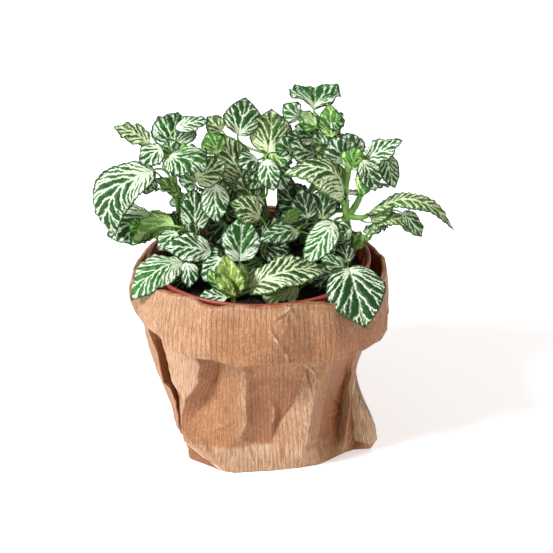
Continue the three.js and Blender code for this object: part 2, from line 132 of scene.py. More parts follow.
def smoothPath(controls, steps=160):
    # a smooth line that runs through the controls without loops, in even steps along its length
    p = np.asarray(controls, float)
    p = np.vstack([2 * p[0] - p[1], p, 2 * p[-1] - p[-2]])
    samples = []
    for a, b, c, d in zip(p, p[1:], p[2:], p[3:]):
        t1 = np.linalg.norm(b - a) ** 0.5
        t2 = t1 + np.linalg.norm(c - b) ** 0.5
        t3 = t2 + np.linalg.norm(d - c) ** 0.5
        t = np.linspace(t1, t2, 24, endpoint=False)[:, None]
        a1 = (t1 - t) / t1 * a + t / t1 * b
        a2 = (t2 - t) / (t2 - t1) * b + (t - t1) / (t2 - t1) * c
        a3 = (t3 - t) / (t3 - t2) * c + (t - t2) / (t3 - t2) * d
        b1 = (t2 - t) / t2 * a1 + t / t2 * a2
        b2 = (t3 - t) / (t3 - t1) * a2 + (t - t1) / (t3 - t1) * a3
        samples.append((t2 - t) / (t2 - t1) * b1 + (t - t1) / (t2 - t1) * b2)
    line = np.vstack(samples + [p[-2:-1]])
    gone = np.concatenate([[0], np.cumsum(np.linalg.norm(np.diff(line, axis=0), axis=1))])
    at = np.linspace(0, gone[-1], steps)
    return np.stack([np.interp(at, gone, line[:, k]) for k in range(3)], 1)


def tube(path, radii, sides):
    # a closed round tube along a path, with a radius at each of its points: points, quads and end triangles
    path = np.asarray(path, float)
    along = unit(np.gradient(path, axis=0))
    helper = np.array([0.3, 1, 0.2]) if abs(along[0][1]) < 0.9 else np.array([1, 0, 0.2])
    across = []
    last = unit(np.cross(along[0], helper))
    for direction in along:
        last = unit(last - direction * np.dot(last, direction))
        across.append(last)
    across = np.array(across)
    other = np.cross(along, across)
    turn = np.linspace(0, 2 * math.pi, sides, endpoint=False)
    rings = path[:, None] + np.asarray(radii)[:, None, None] * (
        across[:, None] * np.cos(turn)[None, :, None] + other[:, None] * np.sin(turn)[None, :, None])
    points = np.vstack([rings.reshape(-1, 3), path[:1], path[-1:]])
    first, top = len(path) * sides, (len(path) - 1) * sides
    k = np.arange(sides)
    n = (k + 1) % sides
    ends = np.vstack([np.stack([n, k, k * 0 + first], 1), np.stack([top + k, top + n, k * 0 + first + 1], 1)])
    return points, gridFaces(len(path), sides, wrap=True), ends


camera = {
    "target": (9.45, 0, 92),
    "elevation": 26,
    "distance": 950,
    "lens": 114.5,
    "sensor": 36,
    "clip": (0.05, 20),  # metres
}


def makeCamera():
    data = bpy.data.cameras.new("camera")
    data.lens = camera["lens"]
    data.sensor_width = camera["sensor"]
    data.clip_start, data.clip_end = camera["clip"]
    eye = bpy.data.objects.new("camera", data)
    tilt = math.radians(camera["elevation"])
    back = Vector((0, -math.cos(tilt), math.sin(tilt)))
    eye.location = Vector(camera["target"]) * mm + back * camera["distance"] * mm
    eye.rotation_euler = (math.radians(90 - camera["elevation"]), 0, 0)
    bpy.context.scene.collection.objects.link(eye)
    bpy.context.scene.camera = eye


# Soft light from high on the left, a weak one on the right and one behind; the sky fills the shadows warmly.
# Places and sizes are in metres, and power in watts.
studio = {
    "lamps": {
        "key": {"place": (-1.1, -0.68, 1.15), "size": 0.42, "power": 35, "colour": "#f6faff"},
        "fill": {"place": (1.1, -0.9, 0.7), "size": 1.0, "power": 2, "colour": "#fff4e6"},
        "back": {"place": (0.3, 1.1, 1.1), "size": 0.8, "power": 5, "colour": "#ffffff"},
    },
    "aim": (0, 0, 0.09),
    "sky": 0.4,
    "skyColour": "#fff5ec",
    "floorColour": "#f8f9fb",
    "floorGlow": 0.45,  # a lit table, which leaves only faint shadows
    "floorHalf": 3,
}


def makeStudio():
    for name, lamp in studio["lamps"].items():
        data = bpy.data.lights.new(name + "Light", "AREA")
        data.shape = "DISK"
        data.size = lamp["size"]
        data.energy = lamp["power"]
        data.color = linearColour(lamp["colour"])[:3]
        light = bpy.data.objects.new(name + "Light", data)
        light.location = lamp["place"]
        aim = Vector(studio["aim"]) - light.location
        light.rotation_euler = aim.to_track_quat("-Z", "Y").to_euler()
        bpy.context.scene.collection.objects.link(light)
    world = bpy.data.worlds.new("studioSky")
    world.use_nodes = True
    background = world.node_tree.nodes["Background"]
    background.inputs["Color"].default_value = linearColour(studio["skyColour"])
    background.inputs["Strength"].default_value = studio["sky"]
    bpy.context.scene.world = world
    bpy.context.scene.view_settings.view_transform = "Standard"

    floorMesh = bpy.data.meshes.new("floor")
    half = studio["floorHalf"]
    corners = [(-half, -half, 0), (half, -half, 0), (half, half, 0), (-half, half, 0)]
    floorMesh.from_pydata(corners, [], [(0, 1, 2, 3)])
    floor = bpy.data.objects.new("floor", floorMesh)
    colour = linearColour(studio["floorColour"])
    floorMesh.materials.append(startMaterial("paleStudioFloor", {
        "Roughness": 0.8, "Base Color": colour, "Emission Color": colour,
        "Emission Strength": studio["floorGlow"],
    })[0])
    bpy.context.scene.collection.objects.link(floor)


makeCamera()
makeStudio()
print("camera, light and floor are set")


# Fold lines of the bag's wall, going round from the left side over the front, the right side and the back.
# Each is a crease or a bend in the paper, as (x, y, height) from the base to the turn under the cuff.
foldLines = {
    "leftSide": [(-44.8, -6, 0), (-48.5, -6, 14), (-53, -5, 27), (-56.5, -4, 36), (-60.5, -3, 50),
                 (-63, -2, 65), (-64, 0, 76)],
    "sideEdge": [(-44, -11, 0), (-44.5, -18, 8), (-44.8, -23, 20), (-45.5, -24, 28), (-48, -24, 36),
                 (-51.7, -23, 39), (-53, -22, 45), (-54.8, -20, 56), (-59, -16, 65), (-62, -12, 76)],
    "sidePleat": [(-40.5, -15, 0), (-41, -15.5, 12), (-43.2, -15, 24), (-46, -13.5, 36), (-48, -12, 45),
                  (-50, -11, 56), (-52, -12, 67), (-55, -12.5, 76)],
    "panelEdge": [(-37.5, -37.5, 0), (-40.5, -38, 12), (-42, -36, 24), (-40, -38, 38), (-44.5, -36, 44),
                  (-47.8, -33, 53), (-48.6, -34, 62), (-50, -35, 70), (-52, -35, 76)],
    "litRidge": [(-18.8, -50.5, 0), (-29.5, -46.5, 6), (-40, -41, 12.5), (-41.7, -39, 22),
                 (-41.2, -41, 32), (-39.5, -44, 41), (-35, -48.5, 48), (-32, -52.5, 56), (-31, -53.5, 67),
                 (-35, -51, 76)],
    "litValley": [(-16, -51, 0), (-24, -49, 6), (-33, -44.5, 13), (-37, -41, 24), (-34.5, -42, 30),
                  (-29, -42, 36), (-27, -42.5, 43), (-23.5, -45.8, 51), (-21.5, -47, 58), (-20.5, -49, 66),
                  (-24, -55, 76)],
    "frontPanel": [(-13, -52, 0), (-15, -48.5, 17), (-16, -50, 40), (-14, -52.5, 58), (-15, -59, 76)],
    "frontRidge": [(-5, -51, 0), (-9, -48.5, 16), (-10.5, -51, 22), (-6.5, -54, 32), (-7, -55, 47),
                   (-6.5, -56.5, 59), (-7.5, -58, 68), (-8, -60.5, 76)],
    "frontStep": [(-1, -50.5, 0), (-4, -47.5, 16), (-6, -48, 22), (-3, -50, 32), (-3.5, -51.5, 47),
                  (-3, -53, 59), (-3, -56, 68), (-2, -61, 76)],
    "bandValley": [(6, -50, 0), (7.5, -47.5, 19), (11, -47.5, 29), (17.5, -48, 39), (22, -49.5, 51),
                   (25, -51, 62), (23, -57, 76)],
    "bandRidge": [(21, -47, 0), (23.5, -49, 9), (25, -51, 18), (26.5, -52.5, 30), (28.5, -53.5, 42),
                  (29, -54, 55), (31, -52.5, 64), (33, -52, 76)],
    "rightPanel": [(33, -43, 0), (31, -42.5, 14), (33.5, -44.5, 33), (36, -45, 47), (38, -46, 60),
                   (41, -48, 76)],
    "rightValley": [(40, -37, 0), (43, -24, 8), (44.5, -19, 20), (45.5, -18.5, 30), (46, -19.5, 38),
                    (47.5, -22, 50), (50, -25, 60), (53, -30, 76)],
    "rightRidge": [(46.9, -31, 0), (46.8, -31, 7), (47.8, -30, 17), (49.3, -28, 28), (48.9, -25, 37),
                   (50, -22, 48), (53, -22, 58), (57, -25, 76)],
    "earValley": [(52, -28, 0), (52.5, -23, 5), (51.5, -20.5, 14), (51, -20, 21), (50.8, -18, 28),
                  (51, -16, 36), (54, -14, 50), (60, -16, 76)],
    "earRidge": [(61, -27, 0), (64.3, -30, 8), (63.2, -29, 15.5), (60.5, -26, 22), (55.5, -19, 28),
                 (52.5, -11, 31), (52.5, -6, 36), (55, -3, 44), (57.5, -2, 54), (62.5, -4, 76)],
    "rightSide": [(57, 6, 0), (54.5, 6, 14), (53.5, 8, 40), (62, 9, 76)],
    "rightBack": [(55, 20, 0), (51, 20, 16), (51, 23, 44), (58, 24, 76)],
    "backCorner": [(44, 36, 0), (42, 32, 14), (38, 33, 36), (49, 39, 76)],
    "backCornerEdge": [(33, 44, 0), (36, 41, 18), (36, 45, 45), (39, 49, 76)],
    "backRightPanel": [(20, 50, 0), (16, 46, 16), (19, 49, 45), (22, 58, 76)],
    "backRidge": [(6, 51, 0), (2, 51, 14), (5, 55, 40), (6, 61, 76)],
    "backPleat": [(-6, 50, 0), (-8, 46.5, 18), (-6, 50, 45), (-8, 61, 76)],
    "backLeftPanel": [(-22, 50, 0), (-24, 49, 12), (-20, 55, 42), (-25, 56, 76)],
    "backLeftCorner": [(-36, 39, 0), (-33, 37, 16), (-36, 41, 46), (-40, 47, 76)],
    "leftBackEdge": [(-43, 31, 0), (-47, 30, 20), (-49, 34, 45), (-51, 35, 76)],
    "leftBack": [(-46, 14, 0), (-48, 16, 18), (-55, 17, 45), (-59, 20, 76)],
}

# Strips of the wall from a fold line to the next one that get painted light (over 0) or painted shade (under
# 0),
# as (height, tone): paler for facets turned to the light, darker for facets turned away or lying in shadow.
paintedStripShading = {
    "sideEdge": [(0, -0.5), (76, -0.5)],
    "panelEdge": [(12.5, -0.85), (13, 0), (28, 0.1), (40, 0.5)],
    "litRidge": [(0, 0.4), (12, 0.4), (14, 0), (30, -0.7), (76, -0.6)],
    "litValley": [(0, 0.45), (13, 0.5), (14.5, 0), (76, 0.05)],
    "frontPanel": [(0, 0.5), (13.5, 0.6), (15, 0), (76, 0.1)],
    "frontRidge": [(0, 0.5), (14, 0.7), (16, -0.1), (24, -0.35), (76, -0.2)],
    "frontStep": [(0, 0.5), (15.5, 0.75), (17, -0.1), (24, -0.2), (76, -0.15)],
    "bandValley": [(0, 0.5), (14, 0.6), (20, 0.4), (40, 0.55), (60, 0.2)],
    "bandRidge": [(0, 0.1), (14, -0.15), (76, -0.25)],
    "rightPanel": [(0, 0), (8, -0.5), (76, -0.6)],
    "rightValley": [(0, 0.4), (30, 0.6), (40, 0.2), (46, -0.6)],
    "rightRidge": [(0, -0.1), (76, -0.3)],
    "earValley": [(0, -0.3), (3, -0.3), (4, 1.5), (30, 1.5), (40, 0.2)],
}

# Strips that turn so far away from the front that their ribs follow the fold line to their left.
deepStrips = ("leftSide", "sideEdge", "sidePleat", "litRidge", "rightPanel", "rightValley", "rightRidge",
              "earValley", "earRidge")

# Bends of the cuff: [angle, radius and height at the top fold, radius and height at the hem, how far the
# middle stands out, painted light (over 0) or painted shade on the paper up to the next bend]. The paper
# between two bends is nearly flat. -90 degrees is the front.
cuffLines = [
    [-172, 68.5, 97, 69, 82, 1.5, -0.3], [-154, 68, 100, 70.5, 83.5, 0.5, 0.32],
    [-137, 65.5, 105.2, 70, 80, 2, 0.32], [-124, 64.5, 106.2, 69, 75, -0.5, 0.24],
    [-111, 66.5, 105, 68, 75.5, 1.5, 0], [-99, 64.5, 106.4, 68.5, 74, 0.5, 0.05],
    [-86, 65, 106.5, 69.5, 75.5, -0.4, -0.05], [-79, 65.5, 106.8, 68, 75, 1.8, 0],
    [-66, 64.5, 106.5, 67.5, 73, 0.2, -0.1], [-54, 66, 102, 70, 72, 1.8, -0.35],
    [-40, 66, 99.5, 69, 70, 0.5, -0.4], [-25, 68.5, 99, 70.5, 68.5, 1.5, -0.45],
    [-8, 68.5, 98.3, 70, 65, 0.5, -0.2], [10, 69.5, 98, 69.5, 64.5, 2, 0],
    [29, 67, 99.5, 68.5, 66, 0.2, 0], [46, 67.5, 102, 68.5, 67, 1.6, 0.1],
    [65, 64.5, 104, 67, 68, 0.6, 0.1], [84, 66, 105.5, 68, 70, 1.4, 0],
    [101, 64.5, 105.5, 66.5, 69, 0.2, 0.1], [120, 66, 104, 68.5, 68, 1.6, 0.2],
    [139, 65, 100.5, 67.5, 67.5, 0.3, 0.1], [155, 68, 97, 69.5, 69.5, 1.5, 0],
    [171, 68, 95.5, 69, 71, 0.3, -0.1],
]

bag = {
    "seed": 11,
    "thickness": 0.35,
    "turnHeight": 76,  # where the fold lines end, under the cuff
    "columnStep": 0.8,
    "wallRows": 100,
    "neckRows": 12,
    "cuffRows": 52,
    "baseRows": 8,
    "foldGap": 2.4,  # between the plies at the top fold
    "cuffRadius": 66,  # turns the creases' angles into lengths
    "cuffSeam": -104,  # the angle where the cuff is cut open to lay its creases out
    "girthRadius": 57,  # turns angles into lengths across the ribs
    "neckRun": 28,  # paper from the turn up to the top fold
    "cuffRun": 36,  # paper from the top fold down to the hem
    "baseRun": 50,  # paper from the foot to the middle of the base
    # how strongly each place is rubbed: small creases, pressed folds, edges of the panels, the low fold over
    # the tucked flap, the cuff, its top fold and its hem
    "wear": {"small": 0.35, "pressed": 0.26, "edges": 0.38, "lowFold": 2.2, "cuff": 0.5, "top": 0.35,
             "hem": 0.45},
}

# The paper itself. Patterns are drawn in the sheet's plane, as scale across and along the ribs in each
# millimetre, detail and roughness. Fibres are 0.7 mm wide and 8 mm long: real ones are too fine to show.
kraftPaper = {
    "colours": {"plain": "#b87f50", "deep": "#78451f", "worn": "#f4e4d2", "paintedShadeBrown": "#8a4617",
                "paleFleckAndPaintedLight": "#ecd0ad"},
    "ribPitch": 2.4,
    "ribSlant": 0.07,
    "ribDepth": 0.72,  # how dark the ribs' lines are, next to the deep colour
    "patterns": {
        "broken": (0.09, 0.02, 2, 0.6),
        "fibre": (1.5, 0.12, 5, 0.75),
        "fleck": (1.2, 0.35, 6, 0.8),
        "cloud": (0.05, 0.04, 3, 0.6),
        "paleFleck": (1.6, 0.5, 4, 0.8),
        "rubbed": (0.4, 0.4, 3, 0.6),
    },
}

# Small seeded creases of handled paper: how many, and the ranges of their height on the bag, their length,
# the height of the ridge and its half width.
handling = {
    "wall": {"count": 170, "up": (4, 74), "length": (6, 30), "ridge": (0.25, 1.0), "halfWidth": (0.9, 3.5)},
    "cuff": {"count": 110, "up": (70, 104), "length": (5, 18), "ridge": (0.2, 0.75), "halfWidth": (0.7, 2.6)},
}

# Creases of the cuff, as (angle, height) to (angle, height), with the height of the ridge and its half width.
cuffCreases = [
    ((-82, 101), (-73, 107), 1.3, 1.5), ((-84, 96), (-75, 106), -0.9, 1.4),
    ((-76, 104), (-79, 91), 1.0, 0.9), ((-85.5, 96), (-79, 83), 1.1, 1.6),
    ((-79, 83.5), (-76.5, 75.5), 1.3, 1.2), ((-128, 100), (-119, 77), 0.8, 5.0),
    ((-146, 95), (-132, 80), 0.9, 3.0), ((-118, 106), (-104, 98), 0.7, 2.4),
    ((-62, 94), (-66, 74), -0.7, 3.0), ((-70, 104), (-52, 98), 0.6, 3.0), ((-48, 96), (-43, 74), 0.8, 3.0),
    ((-34, 92), (-24, 75), -0.9, 3.5), ((-20, 94), (-12, 78), 1.0, 3.5), ((-8, 86), (-16, 68), 1.0, 3.0),
    ((150, 90), (162, 74), 1.0, 4.0), ((172, 90), (184, 76), -0.8, 4.0), ((196, 96), (190, 80), 0.8, 4.0),
    ((20, 92), (30, 72), 1.0, 4.0), ((44, 96), (38, 74), -0.7, 4.0), ((62, 98), (74, 76), 0.8, 4.0),
    ((88, 100), (80, 80), -0.7, 4.0), ((104, 98), (116, 74), 0.9, 4.0), ((128, 94), (122, 76), -0.8, 4.0),
]

# Folds pressed into the front of the wall, as (way along the wall, height) to the same, with the height of
# the ridge, or under 0 the depth of the dent, and its half width.
wallCreases = [
    ((112, 45), (122.5, 21), 1.3, 2.2), ((116.5, 44), (125, 21), -1.7, 3.0),
    ((121, 69), (141, 56), 1.5, 2.2), ((123, 68), (132, 53), -1.4, 2.4),
    ((128.2, 18), (130, 3), -1.2, 1.3), ((101.5, 12.5), (104, 2), 1.1, 1.5),
    ((98, 15.5), (126, 18), 1.0, 1.3), ((79, 17), (77, 7), -1.2, 2.6), ((84, 15), (78, 5), 0.9, 1.4),
]


def creaseHeight(across, up, start, end, height, halfWidth):
    # how far a straight crease lifts each point, falling off evenly to both sides and towards its ends
    start, end = np.array(start, float), np.array(end, float)
    line = end - start
    length = np.linalg.norm(line)
    along = ((across - start[0]) * line[0] + (up - start[1]) * line[1]) / length
    aside = np.abs((across - start[0]) * line[1] - (up - start[1]) * line[0]) / length
    taper = np.clip(1.1 - np.abs(along / length - 0.5) * 2.0, 0, 1) ** 0.6
    return height * np.clip(1 - aside / halfWidth, 0, 1) * taper


def seededCreases(rng, acrossRange, kind):
    # small creases of handled paper, in every direction
    made = []
    for _ in range(kind["count"]):
        middle = np.array([rng.uniform(*acrossRange), rng.uniform(*kind["up"])])
        turn = rng.uniform(0, math.pi)
        half = np.array([math.cos(turn), math.sin(turn)]) * rng.uniform(*kind["length"]) / 2
        height = rng.uniform(*kind["ridge"]) * rng.choice([-1, 1])
        made.append((middle - half, middle + half, height, rng.uniform(*kind["halfWidth"])))
    return made


def addCreases(creases, across, up):
    # the lift of all creases together, and how worn the paper is along their tops
    lift, worn = np.zeros(up.shape), np.zeros(up.shape)
    for start, end, height, halfWidth in creases:
        bump = creaseHeight(across, up, start, end, height, halfWidth)
        lift += bump
        worn = np.maximum(worn, np.clip(np.abs(bump) / 0.9, 0, 1) ** 6)
    return lift, worn


def makeKraftPaper():
    # Brown kraft paper, machine glazed, with pressed ribs: fibres and ribs show as fine upright streaks, the
    # glaze is a faint wide shine, worn creases are paler, painted light pales lit facets, painted shade
    # darkens folds.
    material, tree, shader = startMaterial("ribbedKraftPaper", {"Roughness": 0.6, "IOR": 1.5})
    drawn = {}
    for name in ("paperAcross", "paperUp", "foldMark", "paintedShade", "paintedLight"):
        drawn[name] = addNode(tree, "ShaderNodeAttribute", attribute_name=name).outputs["Fac"]
    sheet = addNode(tree, "ShaderNodeCombineXYZ",
                    {"X": drawn["paperAcross"], "Y": drawn["paperUp"]}).outputs[0]
    for name, (acrossScale, alongScale, detail, roughness) in kraftPaper["patterns"].items():
        place = addNode(tree, "ShaderNodeVectorMath", {0: sheet, 1: (acrossScale, alongScale, 1)},
                        operation="MULTIPLY").outputs[0]
        drawn[name] = addNode(tree, "ShaderNodeTexNoise", {"Vector": place, "Scale": 1.0, "Detail": detail,
                                                           "Roughness": roughness}).outputs["Fac"]

    # ribs: a thin darker line each ribPitch, stronger in some places than in others
    ribTurn = 2 * math.pi / kraftPaper["ribPitch"]
    turns = addNode(tree, "ShaderNodeMath", {0: drawn["paperAcross"], 1: ribTurn},
                    operation="MULTIPLY").outputs[0]
    wave = addNode(tree, "ShaderNodeMath", {0: turns}, operation="SINE").outputs[0]
    line = addNode(tree, "ShaderNodeMapRange", {"Value": wave, "From Min": 0.45}).outputs[0]
    strength = addNode(tree, "ShaderNodeMapRange", {"Value": drawn["broken"], "From Min": 0.15,
                                                    "From Max": 0.6}).outputs[0]
    rib = addNode(tree, "ShaderNodeMath", {0: line, 1: strength}, operation="MULTIPLY").outputs[0]
    # ridges are rubbed pale in patches
    rubbed = addNode(tree, "ShaderNodeMapRange", {"Value": drawn["rubbed"], "From Min": 0.3, "From Max": 0.6,
                                                  "To Max": 1.2}).outputs[0]
    wear = addNode(tree, "ShaderNodeMath", {0: drawn["foldMark"], 1: rubbed}, operation="MULTIPLY").outputs[0]

    # colours laid over the plain paper: what shows each one, where that starts and is full, and its strength
    colours = {name: linearColour(code) for name, code in kraftPaper["colours"].items()}
    ribColour = [part * kraftPaper["ribDepth"] for part in colours["deep"][:3]] + [1]
    layers = [
        (drawn["cloud"], 0.35, 0.65, 0.5, colours["deep"]),
        # painted light: paler paper where the light falls; the same pale colour also makes the pale flecks
        (drawn["paintedLight"], 0, 1.2, 0.95, colours["paleFleckAndPaintedLight"]),
        # painted shade: darker brown in folds and recesses
        (drawn["paintedShade"], 0.1, 1, 0.9, colours["paintedShadeBrown"]),
        (drawn["fibre"], 0.42, 0.64, 0.8, colours["deep"]),
        (drawn["fleck"], 0.5, 0.68, 0.55, colours["deep"]),
        (drawn["paleFleck"], 0.52, 0.68, 0.4, colours["paleFleckAndPaintedLight"]),
        (rib, 0, 1, 0.42, ribColour),
        (wear, 0.1, 1, 0.85, colours["worn"]),
    ]
    coloured = colours["plain"]
    for value, low, high, most, colour in layers:
        share = addNode(tree, "ShaderNodeMapRange", {"Value": value, "From Min": low, "From Max": high,
                                                     "To Max": most}).outputs[0]
        coloured = addNode(tree, "ShaderNodeMix", {"Factor": share, "A": coloured, "B": colour},
                           data_type="RGBA").outputs["Result"]
    tree.links.new(coloured, shader.inputs["Base Color"])
    relief = addNode(tree, "ShaderNodeMath", {0: drawn["fibre"], 1: 0.8, 2: rib},
                     operation="MULTIPLY_ADD").outputs[0]
    bump = addNode(tree, "ShaderNodeBump", {"Height": relief, "Strength": 0.6,
                                            "Distance": 0.25 * mm}).outputs[0]
    tree.links.new(bump, shader.inputs["Normal"])
    return material


def wallGrid(rng):
    # the wall as [row, column, xyz] with each column's strip number, and for each point its height, how worn
    # it is, its painted shade in folds and its painted light
    names = list(foldLines)
    heights = np.linspace(0, bag["turnHeight"], bag["wallRows"])
    lines = []
    for name in names:
        p = np.array(foldLines[name], float)
        lines.append([np.interp(heights, p[:, 2], p[:, 0]), np.interp(heights, p[:, 2], p[:, 1]), heights])
    lines = np.transpose(np.array(lines + [lines[0]]), (0, 2, 1))  # [line, row, xyz]
    strips, shares = [], []
    for k in range(len(names)):
        width = np.linalg.norm(lines[k + 1] - lines[k], axis=1).max()
        count = max(3, int(round(width / bag["columnStep"])))
        strips += [k] * count
        shares += list(np.arange(count) / count)
    strips, shares = np.array(strips), np.array(shares)
    t = shares[:, None, None]
    wall = np.transpose(lines[strips] * (1 - t) + lines[strips + 1] * t, (1, 0, 2))
    middle = wall[bag["wallRows"] // 2]
    gone = np.concatenate([[0], np.cumsum(np.linalg.norm(np.diff(middle, axis=0), axis=1))])
    up = np.broadcast_to(heights[:, None], wall.shape[:2])
    unrolled = np.broadcast_to(gone, up.shape)
    lift, worn = addCreases(seededCreases(rng, (0, gone[-1]), handling["wall"]), unrolled, up)
    pressed, creased = addCreases(wallCreases, unrolled, up)
    wear = bag["wear"]
    worn = np.maximum(worn * wear["small"], creased * (pressed > 0) * wear["pressed"])
    lift = (lift + pressed) * smoothStep(up, 0, 6)
    wall = wall + unit(wall * [1, 1, 0]) * lift[..., None]

    # wear along the fold lines that stick out
    before = np.roll(lines[:-1], 1, axis=0)
    bend = lines[:-1] - (before + lines[1:]) / 2
    sharp = np.linalg.norm(bend, axis=2) * np.sign((bend * lines[:-1] * [1, 1, 0]).sum(2))
    nearLine = np.where(shares < 0.5, strips, (strips + 1) % len(names))
    widths = np.linalg.norm(lines[strips + 1] - lines[strips], axis=2).T
    away = np.minimum(shares, 1 - shares) * widths
    handled = ~np.isin(nearLine, [names.index(name) for name in ("litValley", "frontPanel", "frontStep")])
    edgeWear = np.clip(sharp[nearLine].T / 4, 0, 1) * np.clip(1 - away / 0.7, 0, 1) * handled

    # painted shade: the further each point lies inside the widest outline near it, the darker
    radius = np.linalg.norm(wall[..., :2], axis=2)
    widest = np.max([np.roll(radius, k, axis=1) for k in range(-14, 15, 2)], axis=0)
    paintedShade = np.clip((widest - radius - 1.5) / 8, 0, 1)
    for _ in range(4):
        paintedShade = (np.roll(paintedShade, 1, axis=1) + paintedShade + np.roll(paintedShade, -1, axis=1)) / 3
    # painted shade in the pressed dents, then each strip's painted light and painted shade
    tone = -0.5 * np.clip(-pressed / 1.5, 0, 1)
    for name, steps in paintedStripShading.items():
        column = np.interp(heights, *np.transpose(steps))
        tone = np.where(strips == names.index(name), column[:, None] + tone, tone)
    # the flap tucked under the front's left corner has a worn fold over it
    lowFold = (nearLine == names.index("litRidge")) & (away < 0.9) & (up < 13.5)
    edgeWear = np.where(lowFold, wear["lowFold"], edgeWear)
    # painted light where the wall stands out from its neighbours and on the foot under 12.5 mm
    inward = np.mean([np.roll(radius, k, axis=1) for k in range(-20, 21, 4)], axis=0)
    paintedLight = 0.35 * np.clip((radius - inward) / 3.5, 0, 1) + 0.3 * smoothStep(12.5 - up, 0, 1.5)
    tone = (np.roll(tone, 1, axis=1) + tone + np.roll(tone, -1, axis=1)) / 3
    paintedShade = np.maximum(paintedShade * np.clip(1 - tone * 1.5, 0, 1), -tone)
    paintedLight = np.maximum(paintedLight, tone)
    return wall, strips, up, np.maximum(worn, edgeWear * wear["edges"]), paintedShade, paintedLight * (1 - paintedShade)


def cuffGrid(rng, degrees, topRadius):
    # rows of the neck with the turned top, and rows of the cuff, how worn they are and their painted light
    # and shade; a row has one point for every column's angle
    lines = np.array(cuffLines, float)
    place = (degrees - lines[0, 0]) % 360
    corners = np.concatenate([lines[:, 0] - lines[0, 0], [360]])
    order = np.argsort(place)
    # move each bend to its nearest column, so that it stays sharp
    snapped = [place[order[np.argmin(np.abs(place[order] - corner))]] for corner in corners[:-1]] + [360]
    snapped[0] = 0
    k = np.clip(np.searchsorted(snapped, place, side="right") - 1, 0, len(lines) - 1)
    after = (k + 1) % len(lines)
    t = (place - np.array(snapped)[k]) / (np.array(snapped)[k + 1] - np.array(snapped)[k])

    def ringAt(radiusColumn):
        # x and y on the nearly flat panels between the bends
        angle = np.radians(lines[:, 0])
        corner = np.stack([np.cos(angle), np.sin(angle)], 1) * lines[:, radiusColumn, None]
        flat = corner[k] * (1 - t)[:, None] + corner[after] * t[:, None]
        return flat + unit(flat) * (4 * t * (1 - t) * 0.5)[:, None]

    def along(column):
        return lines[k, column] * (1 - t) + lines[after, column] * t

    foldRing, hemRing, middle = ringAt(1), ringAt(3), along(5)
    foldHeight = along(2) + 0.3 * np.sin(np.radians(degrees) * 17) + 0.2 * np.sin(np.radians(degrees) * 41)
    hemHeight = along(4) + 0.35 * np.sin(np.radians(degrees) * 23 + 1)
    out = unit(foldRing)
    half = bag["foldGap"] / 2

    def row(ring, height):
        return np.column_stack([ring, height])

    neck = []
    inner = foldRing - out * 2 * half
    start = bag["turnHeight"]
    for step in np.linspace(0, 1, bag["neckRows"] + 1)[1:]:
        share = smoothStep(step, 0, 0.7)
        radius = topRadius * (1 - share) + np.linalg.norm(inner, axis=1) * share
        neck.append(row(out * radius[:, None], start + (foldHeight - half - start) * step))
    turned = []
    for turn in np.linspace(0, math.pi, 7)[1:-1]:
        ring = foldRing - out * half * (1 + math.cos(turn))
        turned.append(row(ring, foldHeight - half + half * math.sin(turn)))
    cuff, up = [], []
    for step in np.linspace(0, 1, bag["cuffRows"]):
        ring = foldRing * (1 - step) + hemRing * step + out * (middle * math.sin(math.pi * step))[:, None]
        height = foldHeight - half + (hemHeight - foldHeight + half) * step
        cuff.append(row(ring, height))
        up.append(height)
    cuff, up = np.array(cuff), np.array(up)
    # the cuff laid out flat from its seam, so that creases can cross it in every direction
    toLength, seam = math.radians(1) * bag["cuffRadius"], bag["cuffSeam"]
    across = np.broadcast_to((degrees + 180) % 360 - 180, up.shape)
    across = np.where(across < seam, across + 360, across) * toLength
    named = []
    for (a, u), (b, v), height, halfWidth in cuffCreases:
        a, b = (a + 360 if a < seam else a), (b + 360 if b < seam else b)
        named.append(((a * toLength, u), (b * toLength, v), height, halfWidth))
    small = seededCreases(rng, (seam * toLength, (seam + 360) * toLength), handling["cuff"])
    lift, worn = addCreases(named, across, up)
    smallLift, smallWorn = addCreases(small, across, up)
    lift, worn = lift + smallLift, np.maximum(worn * 1.2, smallWorn)
    stiff = smoothStep(np.linspace(0, 1, bag["cuffRows"]), 0, 0.12)[:, None]
    cuff[..., :2] += out[None] * (lift * stiff)[..., None]
    # each cuff facet's painted light (over 0) or painted shade
    tone = lines[k, 6] * np.ones(up.shape)
    return np.array(neck + turned), cuff, worn * bag["wear"]["cuff"], tone


